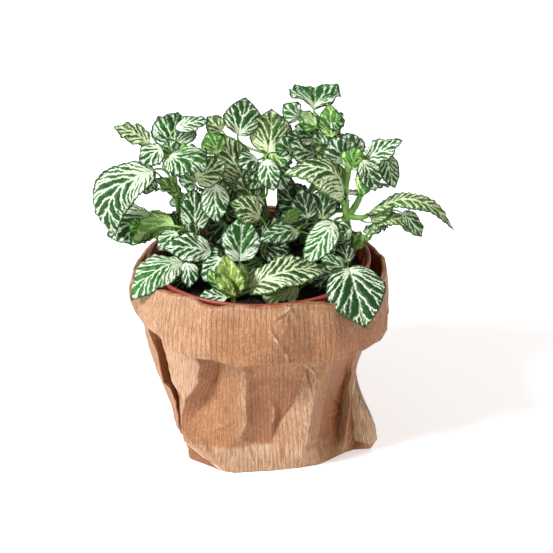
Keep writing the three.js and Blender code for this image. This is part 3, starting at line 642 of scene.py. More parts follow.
def makePaperBag():
    rng = np.random.default_rng(bag["seed"])
    wall, strips, wallUp, wallWorn, wallPaintedShade, wallPaintedLight = wallGrid(rng)
    columns = wall.shape[1]
    degrees = np.degrees(np.arctan2(wall[-1, :, 1], wall[-1, :, 0]))
    neck, cuff, cuffWorn, cuffPaintedShading = cuffGrid(rng, degrees, np.linalg.norm(wall[-1, :, :2], axis=1))
    # the folded base under the pot, from its middle out to the wall's foot
    base = np.array([wall[0] * [t, t, 1] for t in np.linspace(0, 1, bag["baseRows"] + 1)[1:-1]])
    rows = np.concatenate([base, wall, neck, cuff])

    # ribs stay upright; each strip of the wall has its own shift and slant, as paper is lost in the folds
    most = kraftPaper["ribSlant"]
    slant = rng.uniform(-most, most, len(foldLines))[strips]
    shift = rng.uniform(0, kraftPaper["ribPitch"], len(foldLines))[strips]
    angles = np.arctan2(rows[..., 1], rows[..., 0])
    across = (angles + math.pi * 1.5) % (2 * math.pi) * bag["girthRadius"]
    # in the deep folds the ribs follow the fold line to their left
    steps = np.linalg.norm(np.diff(wall, axis=1, prepend=wall[:, -1:]), axis=2)
    run = np.cumsum(steps, axis=1)
    started = np.searchsorted(strips, strips)
    followed = np.isin(strips, [list(foldLines).index(name) for name in deepStrips])
    wallEnd = len(base) + len(wall)
    across[len(base):wallEnd] = np.where(followed, run - run[:, started], across[len(base):wallEnd])
    across[:wallEnd] += shift + slant * rows[:wallEnd, :, 2]

    # the way up the sheet, worn places, painted shade and painted light: base, wall, neck with its turned
    # top, cuff
    still = np.ones(columns)
    topFold = bag["turnHeight"] + bag["neckRun"]
    paperUp = np.concatenate([
        np.linspace(-bag["baseRun"], 0, len(base))[:, None] * still, wallUp,
        bag["turnHeight"] + np.linspace(1, bag["neckRun"], len(neck))[:, None] * still,
        topFold + np.linspace(1, bag["cuffRun"], len(cuff))[:, None] * still])
    onBase, onNeck = np.zeros((len(base), columns)), np.zeros((len(neck), columns))
    # painted light that fades down from the cuff's top fold
    paintedTopLight = np.linspace(0.5, 0, len(cuff))[:, None] ** 2 * still
    marks = np.concatenate([onBase, wallWorn, onNeck, cuffWorn])
    # painted shade: the wall's folds, the neck under the cuff, and the cuff's darker facets
    paintedShade = np.concatenate([onBase, wallPaintedShade, onNeck + 0.5, np.maximum(-cuffPaintedShading, 0)])
    # painted light: the wall's, the cuff's top and the cuff's paler facets
    paintedLight = np.concatenate([onBase, wallPaintedLight, onNeck, np.maximum(paintedTopLight, cuffPaintedShading)])
    patchy = 0.5 + 0.5 * np.sin(np.radians(degrees) * 9 + 1) * np.sin(np.radians(degrees) * 23)
    marks[-len(cuff) - 4:-len(cuff) + 1] = bag["wear"]["top"] * patchy
    marks[-1:] = bag["wear"]["hem"] * patchy

    # two faces of one sheet: the grid and its copy, a paper's thickness inside it
    wrapped = np.concatenate([rows[:, -2:], rows, rows[:, :2]], axis=1)
    normals = -gridNormals(wrapped)[:, 2:-2]
    outside = rows + normals * bag["thickness"] / 2
    inside = rows - normals * bag["thickness"] / 2
    outside[:len(base) + 1, :, 2] = 0.0
    inside[:len(base) + 1, :, 2] = bag["thickness"]
    count = rows.shape[0] * columns
    points = np.vstack([outside.reshape(-1, 3), inside.reshape(-1, 3), [[0, 0, 0]],
                        [[0, 0, bag["thickness"]]]])
    skin = gridFaces(rows.shape[0], columns, wrap=True)
    j = np.arange(columns)
    n = (j + 1) % columns
    last = (rows.shape[0] - 1) * columns
    hem = np.stack([last + j, last + n, last + n + count, last + j + count], 1)
    middle = np.vstack([np.stack([j * 0 + 2 * count, n, j], 1),
                        np.stack([j * 0 + 2 * count + 1, j + count, n + count], 1)])
    drawn = {"paperAcross": across, "paperUp": paperUp, "foldMark": marks, "paintedShade": paintedShade, "paintedLight": paintedLight}
    attributes = {}
    for name, values in drawn.items():
        attributes[name] = np.concatenate([np.tile(values.ravel(), 2), [0, 0]])
    piece = makePiece("kraft_paper_bag", points, [np.vstack([skin, skin[:, ::-1] + count, hem]), middle],
                      [makeKraftPaper()], attributes)
    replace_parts(piece, "paper_bag")


makePaperBag()
print("the paper bag is folded")


nurseryPot = {
    "foot": 1.1,
    "height": 104,
    "baseRadius": 40,
    "neckRadius": 56.6,
    "rimRadius": 60,
    "rimBand": 13,
    "segments": 192,
    "colours": ("#8a3524", "#a84a34", "#4c231c"),
}


def makeMouldedPlastic():
    # Polypropylene, injection moulded and coloured terracotta: an even satin skin with faint flow marks some
    # 17 mm long, and dust and splashes of soil on its rim in spots of about 2.4 mm.
    material, tree, shader = startMaterial("mouldedTerracottaPolypropylene",
                                           {"Roughness": 0.42, "IOR": 1.49})
    place = addNode(tree, "ShaderNodeTexCoord").outputs["Object"]
    flow = addNode(tree, "ShaderNodeTexNoise", {"Vector": place, "Scale": 60.0, "Detail": 3.0}).outputs["Fac"]
    dust = addNode(tree, "ShaderNodeTexNoise", {"Vector": place, "Scale": 420.0,
                                                "Detail": 5.0}).outputs["Fac"]
    deep, light, dirt = [linearColour(c) for c in nurseryPot["colours"]]
    plastic = addNode(tree, "ShaderNodeMix", {"Factor": flow, "A": deep, "B": light},
                      data_type="RGBA").outputs["Result"]
    dirty = addNode(tree, "ShaderNodeMapRange", {"Value": dust, "From Min": 0.58, "From Max": 0.8,
                                                 "To Max": 0.7})
    coloured = addNode(tree, "ShaderNodeMix", {"Factor": dirty.outputs[0], "A": plastic, "B": dirt},
                       data_type="RGBA").outputs["Result"]
    tree.links.new(coloured, shader.inputs["Base Color"])
    bump = addNode(tree, "ShaderNodeBump", {"Height": dust, "Strength": 0.2, "Distance": 0.1 * mm}).outputs[0]
    tree.links.new(bump, shader.inputs["Normal"])
    return material


def makeNurseryPot():
    p = nurseryPot
    top = p["foot"] + p["height"]
    band = top - p["rimBand"]
    foot, base, neck, rim = p["foot"], p["baseRadius"], p["neckRadius"], p["rimRadius"]
    # the profile as [radius, height]: up the outside, over the beaded rim, down the inside, and the base
    profile = np.array([
        (base - 3, foot), (base - 0.5, foot), (base, foot + 0.5),
        (neck - 0.2, band - 0.4), (neck + 0.2, band), (rim - 1.2, band), (rim - 0.8, band + 0.4),
        (rim - 0.5, top - 3.4), (rim - 0.9, top - 3.0), (rim - 0.9, top - 2.4), (rim - 0.2, top - 2.0),
        (rim, top - 1.5), (rim, top - 0.7), (rim - 0.35, top - 0.15), (rim - 0.9, top),
        (rim - 1.6, top - 0.15),
        (rim - 2.0, top - 0.6), (neck - 0.8, band + 1.2), (neck - 1.2, band - 1),
        (base + 0.6, foot + 5), (base - 1.4, foot + 4.1), (0.5, foot + 4.1),
        (0.5, foot + 2.5), (base - 4, foot + 2.5), (base - 3.4, foot + 0.3),
    ])
    turn = np.linspace(0, 2 * math.pi, p["segments"], endpoint=False)
    rings = np.stack([profile[:, 0, None] * np.cos(turn), profile[:, 0, None] * np.sin(turn),
                      np.broadcast_to(profile[:, 1, None], (len(profile), len(turn)))], -1)
    faces = gridFaces(len(profile) + 1, p["segments"], wrap=True) % (len(profile) * p["segments"])
    piece = makePiece("moulded_nursery_pot", rings.reshape(-1, 3), [faces], [makeMouldedPlastic()])
    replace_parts(piece, "nursery_pot")


makeNurseryPot()
print("the nursery pot is moulded")


soil = {
    "seed": 5,
    "edgeHeight": 96.5,
    "crown": 2,
    "radius": 54.6,
    "footRadius": 38.9,
    "foot": 5.9,
    "rings": 72,
    "segments": 220,
    "clods": ((16, 1.0), (7, 0.7), (3.2, 0.5)),  # how long and how high the unevenness is
    "grit": 0.22,
    "crumbs": 900,
    "crumbSize": (0.5, 1.7),
    "colours": ("#100c0a", "#33251d", "#cdb9ae"),
}


def soilTop(x, y):
    # the soil's height at a place, a little higher in the middle
    return soil["edgeHeight"] + soil["crown"] * (1 - (x * x + y * y) / nurseryPot["neckRadius"] ** 2)


def makePeat():
    # Peat compost: crumbly in lumps of 2 mm and nearly black, with brown fibres and a few pale grains of
    # perlite, about 3 mm apart.
    material, tree, shader = startMaterial("crumbledPeatCompost",
                                           {"Roughness": 0.95, "Specular IOR Level": 0.2})
    place = addNode(tree, "ShaderNodeTexCoord").outputs["Object"]
    crumb = addNode(tree, "ShaderNodeTexNoise", {"Vector": place, "Scale": 500.0,
                                                 "Detail": 6.0}).outputs["Fac"]
    black, brown, pale = [linearColour(c) for c in soil["colours"]]
    share = addNode(tree, "ShaderNodeMapRange", {"Value": crumb, "From Min": 0.4, "From Max": 0.7}).outputs[0]
    ground = addNode(tree, "ShaderNodeMix", {"Factor": share, "A": black, "B": brown},
                     data_type="RGBA").outputs["Result"]
    speck = addNode(tree, "ShaderNodeTexVoronoi", {"Vector": place, "Scale": 330.0}).outputs["Distance"]
    grain = addNode(tree, "ShaderNodeMapRange", {"Value": speck, "From Min": 0.07,
                                                 "From Max": 0.03}).outputs[0]
    coloured = addNode(tree, "ShaderNodeMix", {"Factor": grain, "A": ground, "B": pale},
                       data_type="RGBA").outputs["Result"]
    tree.links.new(coloured, shader.inputs["Base Color"])
    bump = addNode(tree, "ShaderNodeBump", {"Height": crumb, "Strength": 0.8,
                                            "Distance": 0.6 * mm}).outputs[0]
    tree.links.new(bump, shader.inputs["Normal"])
    return material


def makeSoil():
    rng = np.random.default_rng(soil["seed"])
    radii = np.linspace(0.4, soil["radius"], soil["rings"])
    turn = np.linspace(0, 2 * math.pi, soil["segments"], endpoint=False)
    x, y = radii[:, None] * np.cos(turn), radii[:, None] * np.sin(turn)
    z = soilTop(x, y)
    for scale, height in soil["clods"]:
        for _ in range(9):
            way = rng.uniform(0, 2 * math.pi)
            bent = rng.uniform(0, 6.3) + 0.8 * np.sin(x / scale + y / scale * 1.7)
            z = z + height / 6 * np.sin((x * math.cos(way) + y * math.sin(way)) * 2 * math.pi / scale + bent)
    z = z + rng.normal(0, soil["grit"], z.shape)
    z[-2:] -= 0.3
    side = []
    for t in np.linspace(0, 1, 12)[1:]:
        radius = soil["radius"] + (soil["footRadius"] - soil["radius"]) * t
        level = soil["edgeHeight"] - 0.4 + (soil["foot"] - soil["edgeHeight"] + 0.4) * t
        side.append(np.stack([radius * np.cos(turn), radius * np.sin(turn), turn * 0 + level], -1))
    rows = np.concatenate([np.stack([x, y, z], -1), np.array(side)])
    count = rows.shape[0] * rows.shape[1]
    points = [rows.reshape(-1, 3), [[0, 0, float(z[0].mean())]], [[0, 0, soil["foot"]]]]
    quads = gridFaces(rows.shape[0], rows.shape[1], wrap=True)[:, ::-1]
    j = np.arange(soil["segments"])
    n = (j + 1) % soil["segments"]
    last = (rows.shape[0] - 1) * soil["segments"]
    triangles = [np.stack([j, n, j * 0 + count], 1), np.stack([last + n, last + j, j * 0 + count + 1], 1)]
    # loose crumbs on top: small uneven lumps, each half sunk
    start = count + 2
    lump = np.array([[1, 0, 0], [-1, 0, 0], [0, 1, 0], [0, -1, 0], [0, 0, 1], [0, 0, -1]], float)
    lumpFaces = np.array([[0, 2, 4], [2, 1, 4], [1, 3, 4], [3, 0, 4], [2, 0, 5], [1, 2, 5], [3, 1, 5],
                          [0, 3, 5]])
    for _ in range(soil["crumbs"]):
        r, a = soil["radius"] * 0.97 * math.sqrt(rng.uniform()), rng.uniform(0, 2 * math.pi)
        size = rng.uniform(*soil["crumbSize"])
        centre = np.array([r * math.cos(a), r * math.sin(a), 0])
        centre[2] = soilTop(centre[0], centre[1]) + size * 0.15
        shape = lump * rng.uniform(0.5, 1.1, (6, 1)) * size
        spin = rng.uniform(0, math.pi)
        turned = [[math.cos(spin), -math.sin(spin)], [math.sin(spin), math.cos(spin)]]
        shape[:, :2] = shape[:, :2] @ np.array(turned)
        points.append(shape + centre)
        triangles.append(lumpFaces + start)
        start += 6
    piece = makePiece("peat_soil", np.vstack(points), [quads, np.vstack(triangles)], [makePeat()])
    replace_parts(piece, "soil")


rootlets = {
    "radius": 0.17,
    "steps": 40,
    "colours": ("#e2d2b4", "#a98f68"),
    "paths": [[(19, -38, 97.5), (22, -31, 100), (28, -18, 97.6)],
              [(-44, -12, 97), (-48, -4, 100), (-45, 6, 97.4)],
              [(40, 4, 97.6), (44, -3, 99.8), (38, -9, 97.6)],
              [(30, -30, 97.2), (36, -26, 99.2), (41, -31, 96.8)],
              [(-8, -50, 96.8), (-2, -46, 98.6), (5, -50, 96.8)]],
}


def makeRootlets():
    # Dried fine roots: thin, pale and dull, arching out of the compost and back into it. Their colour changes
    # about every 2.5 mm.
    material, tree, shader = startMaterial("driedRootFibre", {"Roughness": 0.8, "IOR": 1.45})
    place = addNode(tree, "ShaderNodeTexCoord").outputs["Object"]
    noise = addNode(tree, "ShaderNodeTexNoise", {"Vector": place, "Scale": 400.0}).outputs["Fac"]
    pale, brown = [linearColour(c) for c in rootlets["colours"]]
    coloured = addNode(tree, "ShaderNodeMix", {"Factor": noise, "A": pale, "B": brown}, data_type="RGBA")
    tree.links.new(coloured.outputs["Result"], shader.inputs["Base Color"])
    points, quads, triangles, start = [], [], [], 0
    for path in rootlets["paths"]:
        line = smoothPath(path, rootlets["steps"])
        radii = rootlets["radius"] * (1 + 0.25 * np.sin(np.arange(rootlets["steps"]) * 0.9))
        tubePoints, sides, ends = tube(line, radii, 6)
        points.append(tubePoints)
        quads.append(sides + start)
        triangles.append(ends + start)
        start += len(tubePoints)
    makePiece("fine_roots", np.vstack(points), [np.vstack(quads), np.vstack(triangles)], [material])


makeSoil()
makeRootlets()
print("the soil is filled in")


# Each stem as its controls from the soil to its tip, with the radius at its foot and at its tip. Branches are
# lines of their own that grow from it. The first point has no height: it stands in the soil.
stems = {
    "left_stem": {
        "radius": (1.7, 1.2),
        "points": [(-34, 10), (-35, 9, 104), (-41, 6, 117), (-43, 4, 133), (-44, 3, 145), (-46, 1, 164)],
    },
    "low_left_stem": {
        "radius": (1.5, 1.1),
        "points": [(-30, -4), (-30, -4, 103), (-33, -5, 112), (-34, -5, 120)],
    },
    "inner_stem": {
        "radius": (1.5, 1.1),
        "points": [(-19, 6), (-19, 6, 104), (-21, 4, 122), (-24, 1, 148)],
    },
    "centre_stem": {
        "radius": (1.6, 1.2),
        "points": [(3, 24), (3, 24, 104), (2, 22, 120), (2, 19, 136), (3, 14, 151), (4, 11, 161)],
    },
    "low_centre_stem": {
        "radius": (1.5, 1.1),
        "points": [(4, -8), (4, -8, 103), (3, -10, 112), (6, -10, 124)],
        "branches": [[(3.4, -9, 108), (11, -6, 117), (22, -2, 122)]],
    },
    "right_stem": {
        "radius": (2.4, 1.6),
        "points": [(49, 14), (49, 14, 103), (47, 9, 123), (46, 6, 140), (48, 3, 157)],
        "branches": [[(46.2, 7, 137), (40, 12, 151), (35, 16, 162), (33, 16, 171), (30, 14, 180)],
                     [(47, 9, 122), (53, 6, 134), (55, 3, 144), (56, 0, 153)]],
    },
    "outer_right_stem": {
        "radius": (1.8, 1.4),
        "points": [(48, 5), (48, 5, 101), (53, 5, 108), (57, 5, 114)],
    },
    "front_right_stem": {
        "radius": (1.4, 1.1),
        "points": [(42, -24), (42, -24, 100), (44, -26, 107)],
    },
    "front_shoot": {
        "radius": (1.4, 0.9),
        "points": [(-13, -40), (-13, -40, 103), (-14, -39, 110)],
    },
    "back_left_stem": {
        "radius": (1.5, 1.1),
        "points": [(-18, 30), (-18, 30, 103), (-17, 32, 112)],
    },
    "back_right_stem": {
        "radius": (1.5, 1.1),
        "points": [(24, 30), (24, 30, 103), (24, 33, 113)],
    },
}

stemSkin = {
    "seed": 23,
    "rooted": 4,  # how far a stem goes into the soil
    "sides": 14,
    "knot": 0.12,  # how much thicker a stem is where leaves join
    "knots": 3.5,
    "branchRadius": 0.8,
    "hairLength": (0.5, 1.2),
    "hairRadius": 0.06,
    "hairsPerMillimetre": 4,
    "colours": ("#7bab4c", "#b4d388", "#568a36"),
}


def stemLines(stem):
    # the main line and the branches, as smooth paths; the first point gets its height from the soil
    x, y = stem["points"][0]
    rooted = (x, y, soilTop(x, y) + 0.3)
    controls = [[rooted, *stem["points"][1:]]] + stem.get("branches", [])
    return [smoothPath(line) for line in controls]


def makeStemSkin():
    # Living green stem: juicy and slightly see-through, so a soft satin skin, with paler streaks along it,
    # 0.7 mm wide and 6 mm long, and deeper green in patches of 8 mm.
    material, tree, shader = startMaterial("hairyGreenStem", {"Roughness": 0.5, "IOR": 1.4})
    place = addNode(tree, "ShaderNodeTexCoord").outputs["Object"]
    stretched = addNode(tree, "ShaderNodeVectorMath", {0: place, 1: (1400, 1400, 160)},
                        operation="MULTIPLY").outputs[0]
    streak = addNode(tree, "ShaderNodeTexNoise", {"Vector": stretched, "Scale": 1.0,
                                                  "Detail": 3.0}).outputs["Fac"]
    patch = addNode(tree, "ShaderNodeTexNoise", {"Vector": place, "Scale": 120.0,
                                                 "Detail": 2.0}).outputs["Fac"]
    green, pale, deep = [linearColour(c) for c in stemSkin["colours"]]
    paler = addNode(tree, "ShaderNodeMapRange", {"Value": streak, "From Min": 0.45,
                                                 "From Max": 0.7}).outputs[0]
    light = addNode(tree, "ShaderNodeMix", {"Factor": paler, "A": green, "B": pale},
                    data_type="RGBA").outputs["Result"]
    deeper = addNode(tree, "ShaderNodeMapRange", {"Value": patch, "From Min": 0.5, "From Max": 0.75,
                                                  "To Max": 0.7}).outputs[0]
    coloured = addNode(tree, "ShaderNodeMix", {"Factor": deeper, "A": light, "B": deep},
                       data_type="RGBA").outputs["Result"]
    tree.links.new(coloured, shader.inputs["Base Color"])
    bump = addNode(tree, "ShaderNodeBump", {"Height": streak, "Strength": 0.4,
                                            "Distance": 0.15 * mm}).outputs[0]
    tree.links.new(bump, shader.inputs["Normal"])
    return material


def makeHair(root, tip, side, along):
    # one stiff hair: a thin three-sided spike
    r = stemSkin["hairRadius"]
    ring = [root + side * r, root - side * r * 0.5 + along * r * 0.9, root - side * r * 0.5 - along * r * 0.9]
    return np.array(ring + [tip]), np.array([[0, 1, 3], [1, 2, 3], [2, 0, 3], [1, 0, 2]])


def makeStems():
    rng = np.random.default_rng(stemSkin["seed"])
    skin = makeStemSkin()
    for name, stem in stems.items():
        points, quads, triangles, start = [], [], [], 0
        for number, line in enumerate(stemLines(stem)):
            share = 1
            if number:
                share = stemSkin["branchRadius"]
            else:
                line = np.vstack([line[:1] - [0, 0, stemSkin["rooted"]], line])
            t = np.linspace(0, 1, len(line))
            knots = stemSkin["knot"] * np.maximum(0, np.cos(t * 2 * math.pi * stemSkin["knots"])) ** 8
            radii = (stem["radius"][0] + (stem["radius"][1] - stem["radius"][0]) * t) * share * (1 + knots)
            radii[-1] *= 0.6
            tubePoints, sides, ends = tube(line, radii, stemSkin["sides"])
            points.append(tubePoints)
            quads.append(sides + start)
            triangles.append(ends + start)
            start += len(tubePoints)
            length = np.linalg.norm(np.diff(line, axis=0), axis=1).sum()
            along = unit(np.gradient(line, axis=0))
            for _ in range(int(length * stemSkin["hairsPerMillimetre"])):
                k = rng.integers(3, len(line) - 2)
                way = unit(np.cross(along[k], rng.normal(size=3)))
                lean = along[k] * rng.uniform(-0.4, 0.4)
                tip = line[k] + way * (radii[k] + rng.uniform(*stemSkin["hairLength"])) + lean
                root = line[k] + way * radii[k] * 0.9
                hair, hairFaces = makeHair(root, tip, np.cross(along[k], way), along[k])
                points.append(hair)
                triangles.append(hairFaces + start)
                start += 4
        piece = makePiece(name + "_skin", np.vstack(points), [np.vstack(quads), np.vstack(triangles)], [skin])
        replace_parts(piece, name)
    return skin


stemMaterial = makeStems()
print("the stems are grown")


# Leaf finishes. Colours: dark and light green between the veins, the edge, the veins, and the underside's two
# tones. Then the distance between side veins and the half width of a side vein at the midrib and at the edge.
leafKinds = {
    "mature": {"greens": ("#0b400b", "#2f7a22"), "edge": "#0c380e", "veins": "#d6e5c6",
               "under": ("#76994f", "#adc788"), "veinStep": 1.3, "veinHalf": (0.44, 0.19)},
    "white": {"greens": ("#0f4a11", "#39882c"), "edge": "#124412", "veins": "#dfebd3",
              "under": ("#84a262", "#bacd9c"), "veinStep": 1.25, "veinHalf": (0.52, 0.25)},
    "bold": {"greens": ("#0a3d0c", "#1c661c"), "edge": "#0a350c", "veins": "#dbe9cd",
             "under": ("#76994f", "#adc788"), "veinStep": 1.6, "veinHalf": (0.44, 0.2)},
    "olive": {"greens": ("#204615", "#648d3c"), "edge": "#24501c", "veins": "#cfdcac",
              "under": ("#84a05a", "#b8ca90"), "veinStep": 1.25, "veinHalf": (0.46, 0.2)},
    "cream": {"greens": ("#1b4313", "#557f36"), "edge": "#326426", "veins": "#d2dfb4",
              "under": ("#93a76a", "#c6cf9e"), "veinStep": 1.35, "veinHalf": (0.54, 0.24)},
    # the shaded finish is painted shade: darker greens and greyer veins for leaves deep in the plant
    "shaded": {"greens": ("#0f2f12", "#2d5a28"), "edge": "#0d2b12", "veins": "#b9cea6",
               "under": ("#547a44", "#8aa472"), "veinStep": 1.6, "veinHalf": (0.44, 0.2)},
    "young": {"greens": ("#3a7a26", "#7fb548"), "edge": "#2b6a20", "veins": "#cbe09c",
              "under": ("#6f9a4a", "#a9c47e"), "veinStep": 1.6, "veinHalf": (0.4, 0.18)},
    "shoot": {"greens": ("#5f8a34", "#9dbb58"), "edge": "#587a2c", "veins": "#d2dc9a",
              "under": ("#8a9a48", "#b8bb70"), "veinStep": 1.8, "veinHalf": (0.36, 0.2)},
}

leafShape = {
    "seed": 100,
    "smallSeed": 300,
    "thickness": 0.3,
    "gridStep": 0.42,
    "belly": 0.82,  # under 1 moves the widest place towards the base
    "stalkRadius": 0.6,
    "bulge": 0.75,  # how far the green stands up between the veins
    "stalkBend": 0.4,
    "sideVeins": (6, 32),  # at least and at most, on each side
    "veinAngle": (50, 23),  # in degrees from the midrib at the base, and how much less it is at the tip
    "veinWander": 0.14,
    "scallop": (1.2, 0.04),  # a scallop's length, and how much longer it is for each millimetre of width
    "scallopDepth": (0.8, 0.3),  # for a flat edge, and what a wavy one adds
    "ripple": (1.2, 0.6),  # long waves of the edge, and the gathers between them
    "swell": 0.7,  # broad uneven swells of the blade
}


def makeLeafSkin(kind, under=False):
    # Nerve plant leaf: a waxy satin skin. White veins with soft feathered edges run over green that bulges
    # between them. The underside is pale and duller.
    look = leafKinds[kind]
    name = kind + ("LeafUnderside" if under else "LeafUpperSide")
    material, tree, shader = startMaterial(name, {"Roughness": 0.62 if under else 0.48, "IOR": 1.42})
    vein, rim, tone = [addNode(tree, "ShaderNodeAttribute", attribute_name=name).outputs["Fac"]
                       for name in ("vein", "rim", "tone")]
    place = addNode(tree, "ShaderNodeTexCoord").outputs["Object"]

    # waviness 1.2 mm long, and cells of leaf skin drawn at 0.4 mm, coarser than real ones so that they show
    feather = addNode(tree, "ShaderNodeTexNoise", {"Vector": place, "Scale": 850.0,
                                                   "Detail": 2.0}).outputs["Fac"]
    cells = addNode(tree, "ShaderNodeTexVoronoi", {"Vector": place, "Scale": 2500.0}).outputs["Distance"]
    ragged = addNode(tree, "ShaderNodeMath", {0: feather, 1: 0.9, 2: vein},
                     operation="MULTIPLY_ADD").outputs[0]
    # the net of fine veinlets, in meshes of 1.3 mm, shows only near the larger veins
    mesh = addNode(tree, "ShaderNodeTexVoronoi", {"Vector": place, "Scale": 780.0},
                   feature="DISTANCE_TO_EDGE").outputs["Distance"]
    # each leaf's green is mottled in patches of 3.3 mm
    mottle = addNode(tree, "ShaderNodeTexNoise", {"Vector": place, "Scale": 300.0,
                                                  "Detail": 4.0}).outputs["Fac"]
    mottle = addNode(tree, "ShaderNodeMath", {0: tone, 1: 0.3, 2: mottle},
                     operation="MULTIPLY_ADD").outputs[0]

    # shares of 0 to 1: the value that each follows, where it starts and is full, and how much it is then
    ramps = {
        "veinlets": (mesh, 0.09, 0.02, 0.4),
        "nearVein": (ragged, 3.6, 1.8, 1),
        "insideEdge": (rim, 0.5, 1.25, 1),
    }
    if under:
        ramps.update(veins=(ragged, 1.75, 1.2, 1), edge=(rim, 1.2, 0.3, 1))
    else:
        ramps.update(veins=(ragged, 1.62, 1.28, 1), edge=(rim, 1.5, 0.6, 1), mottle=(mottle, 0.4, 0.85, 1),
                     halo=(ragged, 2.4, 1.4, 0.6))
    share = {}
    for part, (value, low, high, most) in ramps.items():
        share[part] = addNode(tree, "ShaderNodeMapRange", {"Value": value, "From Min": low, "From Max": high,
                                                           "To Max": most}).outputs[0]
    net = addNode(tree, "ShaderNodeMath", {0: share["veinlets"], 1: share["nearVein"]},
                  operation="MULTIPLY").outputs[0]
    pale = addNode(tree, "ShaderNodeMath", {0: share["veins"], 1: net}, operation="MAXIMUM").outputs[0]
    pale = addNode(tree, "ShaderNodeMath", {0: pale, 1: share["insideEdge"]}, operation="MULTIPLY").outputs[0]

    # colours laid over the darkest one, from the ground up
    dark, light = [linearColour(code) for code in look["under" if under else "greens"]]
    edge, veins = linearColour(look["edge"]), linearColour(look["veins"])
    if under:
        layers = [(pale, light), (share["edge"], edge)]
    else:
        layers = [(share["mottle"], light), (share["halo"], light), (share["edge"], edge), (pale, veins)]
    coloured = dark
    for value, colour in layers:
        coloured = addNode(tree, "ShaderNodeMix", {"Factor": value, "A": coloured, "B": colour},
                           data_type="RGBA").outputs["Result"]
    tree.links.new(coloured, shader.inputs["Base Color"])
    height = addNode(tree, "ShaderNodeMath", {0: cells, 1: 0.5, 2: feather},
                     operation="MULTIPLY_ADD").outputs[0]
    bump = addNode(tree, "ShaderNodeBump", {"Height": height, "Strength": 0.25,
                                            "Distance": 0.12 * mm}).outputs[0]
    tree.links.new(bump, shader.inputs["Normal"])
    return material


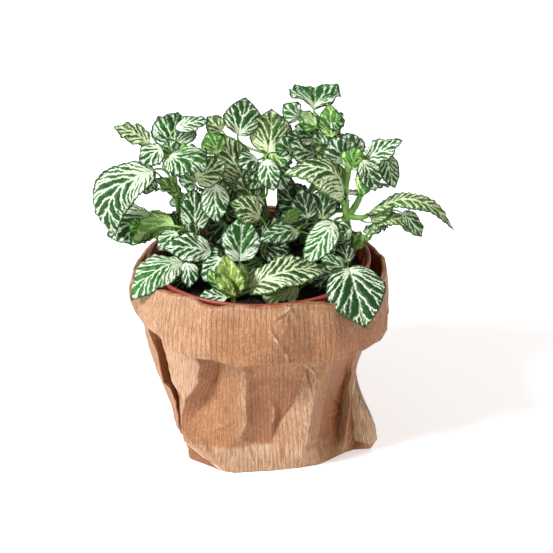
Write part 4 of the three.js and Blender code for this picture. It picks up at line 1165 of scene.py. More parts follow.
# Each leaf: the stem (or stem and branch) that carries it, how far up it joins, where its blade begins and
# ends, its width, the way its upper face looks, how far its midrib arches towards that face, and its finish.
# After that may come its own bends: fold (sides raised), droop (sides lowered), wave (edge ripple), curl (tip
# rolled back) and sway (midrib bent sideways). A stalk over 1 is thicker than a leaf of that width has.
leaves = {
    "left_leaf_1": (("left_stem", 0.9), (-57, 4, 168), (-76, 9, 175), 12, (0, -6, 8), 2, "olive",
                    {"wave": 1.6}),
    "left_leaf_2": (("left_stem", 0.97), (-44, 3, 165), (-42, 8, 185), 24, (0, -10, 2), -3, "mature",
                    {"curl": 0.4, "wave": 1.8}),
    "left_leaf_3": (("left_stem", 0.99), (-50, -3, 167), (-61, -9, 161), 15, (-3, -7, 6), 1, "white"),
    "left_leaf_4": (("left_stem", 0.92), (-47, -4, 163), (-27, -19, 162), 25, (0, -4, 9), 2, "mature",
                    {"curl": 0.1}),
    "left_leaf_5": (("left_stem", 0.6), (-54, -6, 157), (-77, -13, 120), 23, (-1, -8, 5), 9, "mature",
                    {"curl": 0.1, "sway": 0.22}),
    "left_leaf_6": (("left_stem", 0.35), (-58, 1, 128), (-80, -5, 118), 24, (-2, -8, 6), 2, "white",
                    {"wave": 1.4}),
    "left_leaf_7": (("left_stem", 0.25), (-44, -10, 127), (-65, -17, 120), 19, (0, 9, 3), 6, "young",
                    {"fold": 0.3}),
    "left_leaf_8": (("low_left_stem", 0.9), (-43, -12, 124), (-53, -18, 116), 12, (-2, -7, 6), 1, "mature"),
    "left_leaf_9": (("low_left_stem", 0.96), (-34, -6, 122), (-35, 0, 144), 17, (0, -9, 3), 1, "mature",
                    {"fold": 0.25}),
    "inner_leaf_1": (("inner_stem", 0.95), (-23, -4, 148), (-22, -10, 128), 16, (0, -9, 4), 1, "white"),
    "inner_leaf_2": (("inner_stem", 0.97), (-33, -1, 150), (-17, -3, 161), 17, (0, -8, 6), 2, "cream"),
    "centre_leaf_1": (("centre_stem", 0.5), (-5, 8, 136), (-24, 11, 172), 20, (-1, -8, 5), 2, "cream",
                      {"wave": 1.5}),
    "centre_leaf_2": (("centre_stem", 0.97), (-11, 13, 169), (-7, 18, 188), 20, (0, -9, 4), 1, "mature",
                      {"wave": 1.4}),
    "centre_leaf_3": (("centre_stem", 0.96), (5, 9, 160), (7, 16, 184), 24, (0, -9, 4), -2, "olive",
                      {"curl": -0.2}),
    "centre_leaf_4": (("centre_stem", 0.92), (4, 3, 159), (8, -2, 143), 13, (0, -8, 5), 2, "white",
                      {"wave": 1.6}),
    "centre_leaf_5": (("centre_stem", 0.94), (-1, 7, 157), (-11, 2, 155), 14, (0, -7, 7), 2, "mature"),
    "centre_leaf_6": (("centre_stem", 0.95), (10, 9, 156), (18, 4, 159), 11, (0, -7, 7), 2, "mature"),
    "low_leaf_1": (("low_centre_stem", 0.97), (1, -8, 131), (-15, -11, 140), 17, (0, -7, 6), 2, "olive"),
    "low_leaf_2": (("low_centre_stem", 0.6, 0), (14, -6, 125), (24, -6, 133), 14, (0, 7, 7), 3, "young"),
    "low_leaf_3": (("low_centre_stem", 0.97, 0), (26, 3, 125), (22, 4, 142), 15, (0, -9, 2), 0, "shaded"),
    "low_leaf_4": (("back_right_stem", 0.97), (21, 20, 124), (12, 12, 139), 13, (-2, -8, 4), 2, "shaded"),
    "low_leaf_5": (("low_centre_stem", 0.9, 0), (21, -12, 124), (0, -20, 122), 14, (0, -4, 9), 4, "shaded"),
    "low_leaf_6": (("low_centre_stem", 0.4), (-10, -19, 110), (-8, -13, 134), 21, (0, -9, 4), 1, "white",
                   {"wave": 1.6}),
    "top_leaf_1": (("right_stem", 0.97, 0), (29, 15, 183), (29, 33, 188), 28, (0, -5, 9), 0, "mature",
                   {"wave": 1.6, "fold": 0.6, "droop": 0.3}),
    "top_leaf_2": (("right_stem", 0.74, 0), (38, 9, 169), (37, 11, 187), 13, (0, -9, 3), 0, "young"),
    "top_leaf_3": (("right_stem", 0.84, 0), (30, 8, 176), (22, 5, 186), 9, (3, 8, 3), 1, "white"),
    "right_leaf_1": (("right_stem", 0.97), (48, 5, 159), (46, 8, 172), 17, (0, -9, 3), 0, "white"),
    "right_leaf_2": (("right_stem", 0.94), (53, 2, 157), (75, 0, 171), 14, (1, -5, 8), 2, "white",
                     {"wave": 1.8}),
    "right_leaf_3": (("right_stem", 0.97, 1), (67, 8, 160), (72, 2, 143), 11, (1, -9, 3), 2, "mature"),
    "right_leaf_4": (("right_stem", 0.9), (54, -6, 162), (61, -9, 146), 13, (3, -8, 4), 2, "mature",
                     {"wave": 1.4}),
    "right_leaf_5": (("right_stem", 0.9, 1), (51, -3, 150), (62, -5, 149), 17, (0, -8, 5), 1, "young",
                     {"wave": 1.2}),
    "right_leaf_6": (("right_stem", 0.1, 1), (58, 1, 128), (104, -7, 122), 11, (0, -4, 8), 17, "olive",
                     {"wave": 1.4, "stalk": 3}),
    "right_leaf_7": (("outer_right_stem", 0.95), (59, 4, 113), (86, -2, 117), 9, (-1, -4, 8), 14, "olive",
                     {"fold": 0.2, "wave": 1.4, "stalk": 2.6}),
    "right_leaf_8": (("right_stem", 0.6), (45, -2, 139), (13, -6, 154), 25, (0, -4, 8), 15, "cream",
                     {"droop": 0.6, "stalk": 1.8}),
    "right_leaf_9": (("right_stem", 0.4), (39, -8, 128), (24, -22, 110), 17, (-2, -8, 5), 3, "white"),
    "right_leaf_10": (("right_stem", 0.35), (34, 4, 124), (36, 6, 142), 16, (0, -9, 2), 0, "shaded"),
    "front_leaf_1": (("front_shoot", 0.15), (-6, -37, 102), (37, -28, 108), 20, (0, -5, 9), 11, "cream",
                     {"wave": 1.2}),
    "front_leaf_2": (("low_left_stem", 0.6), (-25, -15, 114), (-50, -20, 118), 17, (0, -7, 7), 3, "white"),
    "front_leaf_3": (("front_shoot", 0.9), (-19, -27, 116), (-29, -31, 104), 13, (-2, -8, 5), 2, "white"),
    "front_leaf_4": (("low_left_stem", 0.4), (-40, -22, 111), (-66, -35, 95), 22, (-2, -6, 8), 7, "mature"),
    "front_leaf_5": (("front_shoot", 0.4), (-16, -43, 101), (-31, -41, 101), 11, (0, -5, 9), 1, "mature"),
    "front_leaf_6": (("front_right_stem", 0.9), (47, -29, 111), (55, -56, 90), 32, (1, -7, 7), 6, "bold",
                     {"wave": 0.4}),
    "back_leaf_1": (("back_left_stem", 0.9), (-22, 35, 113), (-41, 50, 115), 20, (-1, 3, 9), 3, "mature"),
    "back_leaf_2": (("back_left_stem", 0.96), (-15, 38, 115), (-12, 62, 114), 20, (0, 3, 9), 3, "white"),
    "back_leaf_3": (("back_right_stem", 0.9), (22, 39, 115), (17, 62, 115), 18, (0, 3, 9), 3, "mature"),
    "back_leaf_4": (("back_right_stem", 0.93), (30, 35, 115), (48, 51, 116), 20, (1, 3, 9), 3, "bold"),
}

# Smaller leaves and young shoots that fill the plant, in the same columns without a name.
smallLeaves = [
    (("left_stem", 0.97), (-44, 1, 161), (-52, -1, 167), 10, (0, -5, 8), 1, "young"),
    (("left_stem", 0.97), (-44, 1, 162), (-36, 0, 167), 10, (0, -5, 8), 1, "young"),
    (("left_stem", 0.99), (-45, 1, 164), (-47, 2, 171), 10, (0, -8, 4), 1, "mature"),
    (("left_stem", 0.96), (-43, 3, 176), (-26, 6, 179), 10, (0, -6, 7), 1, "white", {"wave": 1.6}),
    (("left_stem", 0.6), (-57, -6, 153), (-59, -9, 144), 11, (-2, -8, 4), 1, "mature"),
    (("left_stem", 0.72), (-41, 2, 138), (-55, -4, 151), 9, (0, -5, 8), 1, "young", {"fold": 0.5}),
    (("left_stem", 0.5), (-33, 0, 146), (-42, -4, 150), 11, (0, -6, 7), 1, "white"),
    (("left_stem", 0.35), (-62, -8, 124), (-68, -10, 130), 9, (0, -7, 6), 1, "young"),
    (("left_stem", 0.3), (-41, 2, 117), (-51, 0, 129), 15, (0, -8, 4), 1, "mature"),
    (("low_left_stem", 0.9), (-33, -8, 117), (-40, -6, 127), 12, (0, -8, 4), 1, "shaded"),
    (("inner_stem", 0.5), (-18, 5, 122), (-28, 0, 113), 16, (0, -7, 6), 1, "shaded"),
    (("inner_stem", 0.4), (-25, 5, 122), (-14, 2, 112), 16, (0, -7, 6), 1, "shaded"),
    (("inner_stem", 0.97), (-19, 8, 173), (-27, 8, 181), 11, (0, -8, 4), 1, "olive", {"wave": 1.6}),
    (("inner_stem", 0.98), (-21, 5, 162), (-27, 3, 174), 14, (-1, -8, 4), 1, "young"),
    (("centre_stem", 0.94), (2, 9, 154), (-5, 3, 147), 12, (-1, -8, 4), 1, "white"),
    (("centre_stem", 0.8), (0, 6, 134), (-11, 1, 150), 15, (0, -8, 5), 1, "olive"),
    (("centre_stem", 0.75), (2, 4, 136), (-16, -3, 131), 18, (0, -6, 7), 1, "shaded"),
    (("centre_stem", 0.5), (-5, 10, 124), (-14, 8, 139), 18, (0, -8, 4), 1, "shaded"),
    (("low_centre_stem", 0.97), (22, 4, 120), (11, 0, 128), 14, (0, -6, 7), 2, "shaded"),
    (("low_centre_stem", 0.9), (2, -4, 117), (17, -8, 125), 16, (0, -7, 6), 1, "shaded", {"wave": 1.5}),
    (("low_centre_stem", 0.6), (1, -8, 113), (17, -12, 112), 18, (0, -6, 7), 2, "shaded"),
    (("low_centre_stem", 0.9, 0), (34, -2, 111), (22, -8, 104), 12, (0, -6, 7), 1, "shaded"),
    (("centre_stem", 0.97), (22, 13, 179), (13, 13, 186), 12, (0, -8, 4), 1, "white", {"wave": 1.5}),
    (("centre_stem", 0.97), (6, 9, 160), (18, 5, 156), 12, (0, -6, 7), 1, "young"),
    (("centre_stem", 0.93), (7, 7, 157), (13, 2, 141), 16, (1, -8, 4), 1, "white"),
    (("centre_stem", 0.9), (17, 10, 161), (10, 9, 169), 12, (0, -8, 4), 1, "mature"),
    (("right_stem", 0.8, 0), (31, 13, 173), (20, 11, 179), 11, (0, -7, 6), 1, "young"),
    (("right_stem", 0.9, 0), (38, 12, 179), (45, 10, 175), 11, (2, -8, 4), 1, "mature", {"wave": 1.6}),
    (("right_stem", 0.6, 0), (28, 14, 165), (14, 12, 169), 12, (0, -6, 7), 1, "shaded"),
    (("right_stem", 0.65, 0), (30, 12, 158), (16, 6, 167), 15, (0, -7, 6), 1, "white"),
    (("right_stem", 0.55, 0), (38, 10, 161), (28, 8, 171), 12, (0, -7, 6), 1, "olive"),
    (("right_stem", 0.8), (45, 3, 158), (38, 1, 172), 19, (0, -8, 4), 1, "white"),
    (("right_stem", 0.97), (49, 1, 154), (52, -2, 168), 15, (0, -8, 5), 1, "young"),
    (("right_stem", 0.7), (46, 4, 141), (31, 8, 161), 14, (-2, -7, 6), 2, "young"),
    (("right_stem", 0.5), (24, 14, 127), (10, 11, 140), 19, (0, -8, 4), 1, "shaded", {"wave": 1.4}),
    (("right_stem", 0.45), (32, 8, 121), (16, 4, 128), 15, (0, -6, 7), 1, "shaded"),
    (("right_stem", 0.4), (49, 4, 119), (38, -2, 115), 14, (0, -6, 7), 1, "mature"),
    (("right_stem", 0.3), (47, 4, 108), (36, 0, 123), 15, (0, -8, 4), 1, "mature"),
    (("right_stem", 0.2), (50, 6, 105), (55, 6, 116), 11, (0, -8, 4), 1, "young"),
    (("right_stem", 0.15, 1), (60, 1, 124), (73, -4, 138), 9, (0, -7, 6), 2, "olive", {"wave": 2}),
    (("outer_right_stem", 0.95), (76, -1, 130), (87, -3, 117), 11, (0, -6, 7), 1, "mature", {"wave": 1.6}),
    (("front_right_stem", 0.9), (45, -22, 107), (32, -26, 115), 12, (0, -6, 7), 1, "white"),
    (("front_right_stem", 0.7), (47, -18, 109), (42, -14, 118), 12, (0, -8, 4), 1, "shaded"),
    (("low_left_stem", 0.8), (-31, -10, 111), (-22, -20, 110), 15, (0, -6, 7), 1, "white"),
    (("low_left_stem", 0.6), (-38, -24, 112), (-36, -34, 102), 12, (0, -8, 4), 1, "white"),
    (("front_shoot", 0.9), (-12, -40, 101), (-17, -36, 122), 15, (-1, -8, 3), 1, "shoot",
     {"fold": 0.8, "wave": 1.2}),
    (("front_shoot", 0.95), (-10, -39, 102), (-9, -35, 117), 9, (2, -8, 3), 1, "shoot", {"fold": 0.6}),
    (("front_shoot", 0.6), (-12, -42, 101), (-20, -40, 115), 6, (-3, -8, 3), 1, "shoot", {"fold": 0.6}),
    (("front_shoot", 0.5), (-19, -38, 104), (-26, -36, 114), 7, (-2, -8, 3), 1, "young"),
    (("front_shoot", 0.2), (20, -36, 106), (2, -48, 102), 18, (0, 6, -3), 3, "white"),
    (("centre_stem", 0.6), (2, 8, 118), (-12, 4, 127), 16, (0, -7, 5), 1, "shaded"),
    (("centre_stem", 0.45), (0, 6, 114), (-15, 0, 118), 15, (0, -7, 5), 1, "shaded"),
    (("low_left_stem", 0.5), (-28, -8, 104), (-43, -14, 113), 15, (0, -7, 6), 1, "shaded"),
    (("low_left_stem", 0.3), (-25, -12, 97), (-38, -20, 96), 15, (0, -7, 6), 1, "shaded"),
    (("inner_stem", 0.25), (-20, 2, 106), (-34, -4, 103), 15, (0, -7, 6), 2, "shaded"),
    (("inner_stem", 0.2), (-18, 2, 103), (-4, -6, 104), 15, (0, -7, 6), 2, "shaded"),
    (("low_centre_stem", 0.35), (2, -10, 105), (-12, -18, 101), 15, (0, -7, 6), 2, "shaded"),
    (("low_centre_stem", 0.3), (5, -10, 105), (18, -18, 101), 15, (0, -7, 6), 2, "mature"),
    (("front_shoot", 0.3), (-12, -30, 102), (-24, -36, 101), 12, (0, -7, 6), 1, "mature"),
    (("front_shoot", 0.35), (-6, -32, 104), (3, -40, 104), 12, (0, -7, 6), 1, "shaded"),
    (("right_stem", 0.15), (44, 2, 106), (28, -8, 104), 15, (0, -7, 6), 2, "shaded"),
    (("right_stem", 0.1), (46, 0, 99), (34, -14, 94), 15, (0, -7, 6), 2, "mature"),
    (("front_right_stem", 0.6), (42, -26, 107), (25, -34, 105), 14, (0, -7, 6), 2, "shaded"),
    (("right_stem", 0.5, 0), (35, 14, 153), (18, 8, 149), 15, (0, -7, 6), 1, "shaded"),
    (("right_stem", 0.6, 0), (31, 14, 165), (19, 10, 175), 14, (0, -7, 6), 1, "mature"),
    (("right_stem", 0.45, 0), (36, 14, 160), (24, 11, 155), 14, (0, -7, 6), 1, "shaded"),
    (("right_stem", 0.75, 0), (33, 13, 173), (43, 9, 166), 14, (0, -7, 6), 1, "mature"),
    (("right_stem", 0.55), (45, 6, 141), (37, 2, 137), 12, (0, -7, 6), 1, "shaded"),
    (("low_left_stem", 0.2), (-35, -14, 101), (-45, -26, 96), 12, (0, -7, 6), 1, "shaded"),
    (("inner_stem", 0.7), (-23, 3, 132), (-33, -2, 130), 14, (0, -7, 5), 1, "shaded"),
    (("centre_stem", 0.88), (2, 7, 148), (-9, 3, 143), 12, (0, -7, 6), 1, "mature"),
    (("centre_stem", 0.55), (9, 14, 120), (22, 12, 128), 14, (0, -7, 5), 1, "shaded"),
    (("centre_stem", 0.5), (-1, 12, 122), (-14, 8, 121), 14, (0, -7, 5), 1, "shaded"),
    (("inner_stem", 0.6), (-22, 8, 129), (-12, 6, 123), 12, (0, -7, 5), 1, "shaded"),
    (("back_left_stem", 0.9), (-16, 34, 118), (-24, 44, 132), 16, (-1, 6, 6), 2, "mature"),
    (("back_left_stem", 0.97), (-12, 32, 124), (2, 42, 134), 15, (1, 6, 6), 2, "white"),
    (("back_left_stem", 0.8), (-22, 30, 122), (-34, 40, 130), 16, (-2, 6, 6), 2, "mature"),
    (("back_left_stem", 0.7), (-28, 26, 116), (-50, 34, 112), 17, (-2, 5, 7), 3, "bold"),
    (("back_left_stem", 0.6), (-22, 24, 118), (-38, 22, 126), 15, (-1, 2, 9), 2, "olive"),
    (("back_right_stem", 0.9), (22, 33, 121), (12, 43, 134), 15, (-1, 6, 6), 2, "white"),
    (("back_right_stem", 0.97), (26, 32, 124), (38, 41, 134), 16, (1, 6, 6), 2, "mature"),
    (("back_right_stem", 0.8), (32, 27, 118), (50, 34, 122), 16, (2, 5, 7), 2, "mature"),
    (("back_right_stem", 0.7), (32, 22, 116), (46, 16, 124), 13, (1, 2, 9), 2, "shaded"),
    (("centre_stem", 0.9), (8, 20, 150), (14, 38, 148), 15, (1, 5, 7), 2, "mature"),
    (("centre_stem", 0.6), (-4, 26, 134), (-18, 42, 140), 17, (-1, 6, 6), 2, "mature"),
    (("centre_stem", 0.7), (4, 27, 140), (10, 44, 136), 15, (0, 6, 6), 3, "white"),
    (("left_stem", 0.9), (-48, 7, 160), (-56, 24, 156), 15, (-1, 5, 7), 2, "mature"),
    (("left_stem", 0.5), (-46, 10, 138), (-52, 27, 130), 14, (-1, 6, 6), 2, "white"),
    (("left_stem", 0.3), (-50, 8, 124), (-66, 16, 120), 14, (-3, 3, 8), 2, "mature"),
    (("right_stem", 0.9), (48, 9, 154), (56, 26, 150), 13, (1, 6, 6), 2, "mature"),
    (("right_stem", 0.5), (47, 13, 134), (52, 30, 128), 14, (1, 6, 6), 2, "white"),
    (("right_stem", 0.5, 0), (38, 18, 156), (34, 35, 150), 15, (0, 6, 6), 2, "mature"),
    (("right_stem", 0.9, 0), (34, 19, 172), (40, 34, 162), 13, (1, 6, 5), 2, "white"),
    (("right_stem", 0.6, 1), (58, 9, 140), (70, 20, 136), 13, (2, 4, 7), 2, "mature"),
    (("inner_stem", 0.9), (-25, 6, 146), (-31, 22, 150), 14, (-1, 5, 7), 2, "mature"),
    (("inner_stem", 0.6), (-24, 8, 130), (-34, 20, 136), 13, (-1, 5, 7), 2, "shaded"),
    (("outer_right_stem", 0.9), (58, 9, 113), (70, 20, 112), 13, (2, 3, 8), 3, "mature"),
    (("inner_stem", 0.85), (-25, 9, 140), (-34, 30, 144), 18, (-1, 6, 6), 3, "mature"),
    (("inner_stem", 0.7), (-20, 12, 132), (-8, 32, 134), 17, (1, 6, 6), 3, "mature"),
    (("left_stem", 0.7), (-46, 8, 150), (-40, 30, 152), 17, (0, 6, 6), 3, "white"),
    (("left_stem", 0.35), (-42, 12, 128), (-36, 32, 126), 18, (0, 6, 7), 3, "mature"),
    (("right_stem", 0.7), (44, 12, 146), (30, 32, 148), 18, (-1, 6, 6), 3, "mature"),
    (("right_stem", 0.35), (44, 16, 130), (34, 36, 128), 18, (-1, 6, 7), 3, "mature"),
    (("right_stem", 0.7, 0), (36, 20, 160), (42, 38, 156), 16, (0, 6, 6), 3, "mature"),
    (("back_left_stem", 0.97), (-14, 36, 120), (-4, 54, 122), 18, (1, 6, 7), 3, "mature"),
    (("back_right_stem", 0.97), (26, 36, 120), (14, 54, 122), 18, (-1, 6, 7), 3, "white"),
    (("centre_stem", 0.35), (0, 30, 124), (-14, 50, 124), 18, (-1, 6, 7), 3, "mature"),
]


def halfWidthAt(place, width):
    # half the blade's width at a place between base (0) and tip (1)
    place = np.clip(place, 0, 1)
    return width / 2 * np.sin(math.pi * place ** leafShape["belly"]) ** (0.5 + 0.36 * place)


def curveBetween(start, bend, end, count):
    # a curve from start to end that leaves and arrives along the lines to the bend
    t = np.linspace(0, 1, count)[:, None]
    return (1 - t) ** 2 * np.array(start) + 2 * t * (1 - t) * np.array(bend) + t ** 2 * np.array(end)


def leafVeins(length, width, look, rng):
    # the veins of a flat leaf as short lines [x, y, x, y, half width, half width]: a midrib, and side veins
    # that bend towards the tip and fork until each fork has a place of its own on the leaf's edge
    parts = []
    size = (length * width / 480) ** 0.25
    atRoot, atEdge = [w * size for w in look["veinHalf"]]

    def add(points, first, last):
        widths = np.linspace(first, last, len(points))
        for k in range(len(points) - 1):
            parts.append([*points[k], *points[k + 1], widths[k], widths[k + 1]])

    def feather(line, half):
        # short pointed spurs on both sides of a vein
        for k in range(1, len(line) - 1):
            ahead = unit(line[k + 1] - line[k - 1])
            for turn in rng.choice([-1, 1], 2):
                aside = np.array([ahead[1], -ahead[0]]) * turn * rng.uniform(0.45, 0.8)
                add([line[k], line[k] + (ahead + aside) * size * rng.uniform(0.4, 0.9)], half * 0.75, 0.08)

    def grow(start, heading, ends, half):
        aim = np.mean(ends, axis=0)
        reach = np.linalg.norm(aim - start)
        if len(ends) == 1:
            twig = curveBetween(start, start + heading * reach * 0.45, aim, 5)
            add(twig, half, atEdge)
            feather(twig, half)
            return
        fork = start + (aim - start) * rng.uniform(0.28, 0.5)
        bend = start + heading * np.linalg.norm(fork - start) * 0.5
        limb = curveBetween(start, bend, fork, 4)
        add(limb, half, half * 0.9)
        feather(limb, half)
        leaving = unit(fork - bend)
        cut = int(np.clip(round(len(ends) / 2 + rng.uniform(-0.9, 0.9)), 1, len(ends) - 1))
        grow(fork, leaving, ends[:cut], max(half * 0.8, atEdge))
        grow(fork, leaving, ends[cut:], max(half * 0.8, atEdge))

    midrib = [(rng.normal(0, 0.1), y) for y in np.linspace(-0.5, 0.97 * length, 9)]
    add(midrib, atRoot * 1.25, atEdge * 0.9)
    count = round(math.hypot(length, width / 2) / (look["veinStep"] * size))
    count = int(np.clip(count, *leafShape["sideVeins"]))
    atBase, less = leafShape["veinAngle"]
    for side in (-1, 1):
        spread = np.linspace(0.02, 0.985, count)
        spread[1:-1] += rng.uniform(-0.22, 0.22, count - 2) / count
        ends = np.stack([side * halfWidthAt(spread, width) * 0.96, spread * length], 1)
        first, leave = 0, 0.0
        while first < count:
            last = min(first + int(rng.choice([2, 2, 3, 3, 4])), count)
            group = ends[first:last]
            place = spread[first:last].mean()
            angle = math.radians(atBase - less * place + rng.uniform(-4, 4))
            run = halfWidthAt(place, width) / math.tan(angle) / length
            leave = min(max(place - run, leave + 0.02 * rng.uniform(0.6, 1.4)), 0.93)
            heading = np.array([side * math.sin(angle + 0.2), math.cos(angle + 0.2)])
            half = atRoot * (1 - 0.3 * place) * rng.uniform(0.75, 1.2)
            grow(np.array([0, leave * length]), heading, group, half)
            first = last
    return np.array(parts)


def veinField(points, parts):
    # each point's distance to the nearest vein, counted in that vein's half widths
    start, line = parts[:, 0:2], parts[:, 2:4] - parts[:, 0:2]
    rel = points[:, None, :] - start[None]
    t = np.clip((rel * line).sum(-1) / (line * line).sum(-1), 0, 1)
    away = np.linalg.norm(rel - t[..., None] * line[None], axis=-1)
    return (away / (parts[:, 4] + (parts[:, 5] - parts[:, 4]) * t)).min(1)


stemPaths = {name: stemLines(stem) for name, stem in stems.items()}


def stalkRoot(on, base):
    # where a leaf's stalk grows from its stem: in the stem's skin, on the side that faces the blade
    stem = stems[on[0]]
    branch = on[2] + 1 if len(on) > 2 else 0
    line = stemPaths[on[0]][branch]
    k = min(int(on[1] * (len(line) - 1)), len(line) - 2)
    along = unit(line[k + 1] - line[k])
    radius = np.interp(on[1], [0, 1], stem["radius"]) * (stemSkin["branchRadius"] if branch else 1)
    out = np.array(base) - line[k]
    return line[k] + unit(out - along * np.dot(out, along)) * radius * 0.7


def bladeSurface(base, tip, width, face, arch, look, bends, rng):
    # the upper surface of a blade as a grid of points, with each point's distances to the veins and the edge
    base, tip = np.array(base, float), np.array(tip, float)
    chord = tip - base
    length = np.linalg.norm(chord)
    ahead = chord / length
    up = np.array(face, float)
    up = unit(up - ahead * np.dot(up, ahead))
    side = np.cross(ahead, up)
    flat = length * (1 + 2.2 * (arch / length) ** 2)
    rows = int(np.clip(flat / leafShape["gridStep"], 14, 110))
    columns = int(np.clip(width / leafShape["gridStep"], 11, 76)) | 1
    even = np.linspace(0, 1, rows)
    place = 0.6 * even + 0.4 * (0.5 - 0.5 * np.cos(math.pi * even))
    across = np.linspace(-1, 1, columns)
    half = halfWidthAt(place, width)
    half[0], half[-1] = leafShape["stalkRadius"], 0.1
    s, t = np.meshgrid(place, across, indexing="ij")
    # scalloped edge
    pitch, longer = leafShape["scallop"]
    scallops = max(6, round(flat / (pitch + longer * width)))
    phase = np.where(t > 0, *rng.uniform(0, 6.3, 2))
    teeth = np.abs(np.sin(s * math.pi * scallops + phase)) ** 0.6 - 0.65
    depth, deeper = leafShape["scallopDepth"]
    notch = 1 + (depth + deeper * bends.get("wave", 1)) / width * teeth * np.abs(t) ** 3
    notch += 0.04 * np.sin(s * rng.uniform(7, 12) + phase * 2) * np.abs(t) ** 2
    x = t * half[:, None] * notch
    # the base's lobes reach back a little behind the stalk
    y = s * flat - 0.09 * width * np.clip(1 - s * 5, 0, 1) ** 2 * np.abs(t) ** 1.5
    veins = leafVeins(flat, width, look, rng)
    # the veins wander a little, which makes the green between them ragged
    wander = rng.uniform(0, 6.3, 4)
    amount = leafShape["veinWander"] * (width / 20) ** 0.5
    bentX = x + amount * (np.sin(1.3 * y + wander[0]) + np.sin(2.4 * y + 1.5 * x + wander[1]))
    bentY = y + amount * (np.sin(1.5 * x + wander[2]) + np.sin(2.3 * x - 1.7 * y + wander[3]))
    field = veinField(np.stack([bentX.ravel(), bentY.ravel()], 1), veins).reshape(x.shape)
    rim = np.minimum((1 - np.abs(t)) * half[:, None], (1 - s) * flat * 0.6 + 0.05)

    # the midrib's curve, with the tip rolled back by curl
    curl = bends.get("curl", 0) * length
    rolled = smoothStep(place, 0.5, 1.0)[:, None] ** 1.3
    spine = base + chord * place[:, None] + up * (4 * arch * place * (1 - place))[:, None]
    spine = spine - up * (curl * 0.6) * rolled - ahead * (abs(curl) * 0.25) * rolled
    sway = bends.get("sway", rng.uniform(-0.05, 0.05)) * length
    spine = spine + side * (sway * np.sin(math.pi * place))[:, None]
    along = unit(np.gradient(spine, axis=0))
    twist = (rng.uniform(-0.2, 0.2) * (place - 0.2))[:, None]
    sideways = unit(side - along * (along @ side)[:, None])
    normal = np.cross(sideways, along)
    sideways, normal = (sideways * np.cos(twist) + normal * np.sin(twist),
                        normal * np.cos(twist) - sideways * np.sin(twist))

    # heights over the midrib: fold or droop of the sides, rippled edge, and green bulging between the veins
    size = width / 20
    droop = bends.get("droop", rng.uniform(0.12, 0.28))
    height = bends.get("fold", 0.1) * np.abs(x) - droop * x ** 2 / (width / 2)
    ripple = np.sin(s * np.where(t > 0, *rng.uniform(13, 22, 2)) + phase)
    gather = np.sin(s * flat * 2 * math.pi / 4.2 + phase * 2)
    ends = np.sin(math.pi * np.clip(s * 0.94 + 0.03, 0, 1)) ** 0.5
    waves, gathers = leafShape["ripple"]
    height += bends.get("wave", 1) * size * (waves * ripple + gathers * gather) * np.abs(t) ** 2.2 * ends
    for scale in (0.55, 0.35):
        way, shift = rng.uniform(0, 6.3, 2)
        turned = x * math.cos(way) + y * math.sin(way)
        height += leafShape["swell"] * size * scale * np.sin(turned / (scale * width) * 4 + shift)
    quilt = 1 - np.exp(-(field / 2.0) ** 2)
    height += leafShape["bulge"] * size ** 0.5 * quilt * np.clip(rim / 1.2, 0, 1)
    height -= 0.3 * size * np.exp(-(x / (0.5 * size)) ** 2)
    points = spine[:, None] + sideways[:, None] * x[..., None] + normal[:, None] * height[..., None]
    return points, field, rim


def makeStalk(on, base, spine, underRib, width, stout):
    # a bent tube from the stem to the blade, which runs on under the midrib as its raised rib
    root = stalkRoot(on, base)
    leaving = unit(spine[2] - spine[0])
    reach = np.linalg.norm(spine[0] - root)
    stalk = curveBetween(root, spine[0] - leaving * reach * leafShape["stalkBend"], spine[0], 14)
    rib = underRib[1:int(len(underRib) * 0.8):2]
    full = leafShape["stalkRadius"] * (width / 20) ** 0.4 * stout
    ribRadius = min(full * 0.9, leafShape["stalkRadius"] * 1.3)
    alongStalk = np.linspace(full * 1.2, full * 0.9, len(stalk))
    alongRib = np.linspace(ribRadius, 0.15, len(rib))
    return tube(np.vstack([stalk, rib]), np.concatenate([alongStalk, alongRib]), 8)


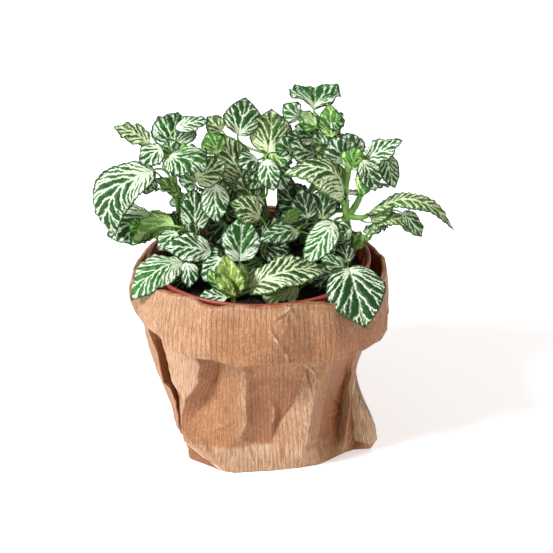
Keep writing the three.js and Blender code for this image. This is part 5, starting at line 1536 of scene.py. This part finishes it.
def makeLeaf(name, row, seed, skins):
    # one closed blade with its stalk; its materials are the upper side's, the underside's and the stalk's
    on, base, tip, width, face, arch, kind, *bends = row
    bends = bends[0] if bends else {}
    rng = np.random.default_rng(seed)
    upper, field, rim = bladeSurface(base, tip, width, face, arch, leafKinds[kind], bends, rng)
    normals = gridNormals(upper)
    ahead = unit(np.subtract(tip, base))
    if (normals @ (np.array(face, float) - ahead * np.dot(face, ahead))).sum() < 0:
        normals = -normals
    thick = leafShape["thickness"] * (0.35 + 0.65 * np.clip(rim / 0.6, 0, 1))
    lower = upper - normals * thick[..., None]
    rows, columns = field.shape
    count = rows * columns
    top = gridFaces(rows, columns)
    corner = upper.reshape(-1, 3)[top[len(top) // 2]]
    facing = np.cross(corner[1] - corner[0], corner[3] - corner[0])
    flip = np.dot(facing, normals[rows // 2, columns // 2]) < 0
    top = top[:, ::-1] if flip else top
    edge = np.concatenate([np.arange(columns), np.arange(1, rows) * columns + columns - 1,
                           (rows - 1) * columns + np.arange(columns - 2, -1, -1),
                           np.arange(rows - 2, 0, -1) * columns])
    after = np.roll(edge, -1)
    band = np.stack([edge, after, after + count, edge + count], 1)
    band = band if flip else band[:, ::-1]
    middle = upper[:, columns // 2] - normals[:, columns // 2] * leafShape["thickness"] * 0.5
    underRib = middle - normals[:, columns // 2] * 0.25
    stalkPoints, stalkSides, stalkEnds = makeStalk(on, base, middle, underRib, width, bends.get("stalk", 1))
    quads = np.vstack([top, top[:, ::-1] + count, band, stalkSides + 2 * count])
    slots = np.concatenate([np.zeros(len(top)), np.ones(len(top)), np.zeros(len(band)),
                            np.full(len(stalkSides) + len(stalkEnds), 2)])
    none = np.zeros(len(stalkPoints))
    attributes = {
        "vein": np.concatenate([field.ravel(), field.ravel(), none]),
        "rim": np.concatenate([rim.ravel(), rim.ravel(), none]),
        "tone": np.full(2 * count + len(stalkPoints), rng.uniform(-0.5, 0.5)),
    }
    points = np.vstack([upper.reshape(-1, 3), lower.reshape(-1, 3), stalkPoints])
    return makePiece(name, points, [quads, stalkEnds + 2 * count], skins[kind], attributes, slots)


def makeLeaves():
    skins = {}
    for kind in leafKinds:
        skins[kind] = [makeLeafSkin(kind), makeLeafSkin(kind, under=True), stemMaterial]
    for number, (name, row) in enumerate(leaves.items()):
        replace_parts(makeLeaf(name + "_blade", row, leafShape["seed"] + number, skins), name)
    for number, row in enumerate(smallLeaves):
        makeLeaf("small_leaf_%02d" % (number + 1), row, leafShape["smallSeed"] + number, skins)


makeLeaves()
print("the leaves are grown")
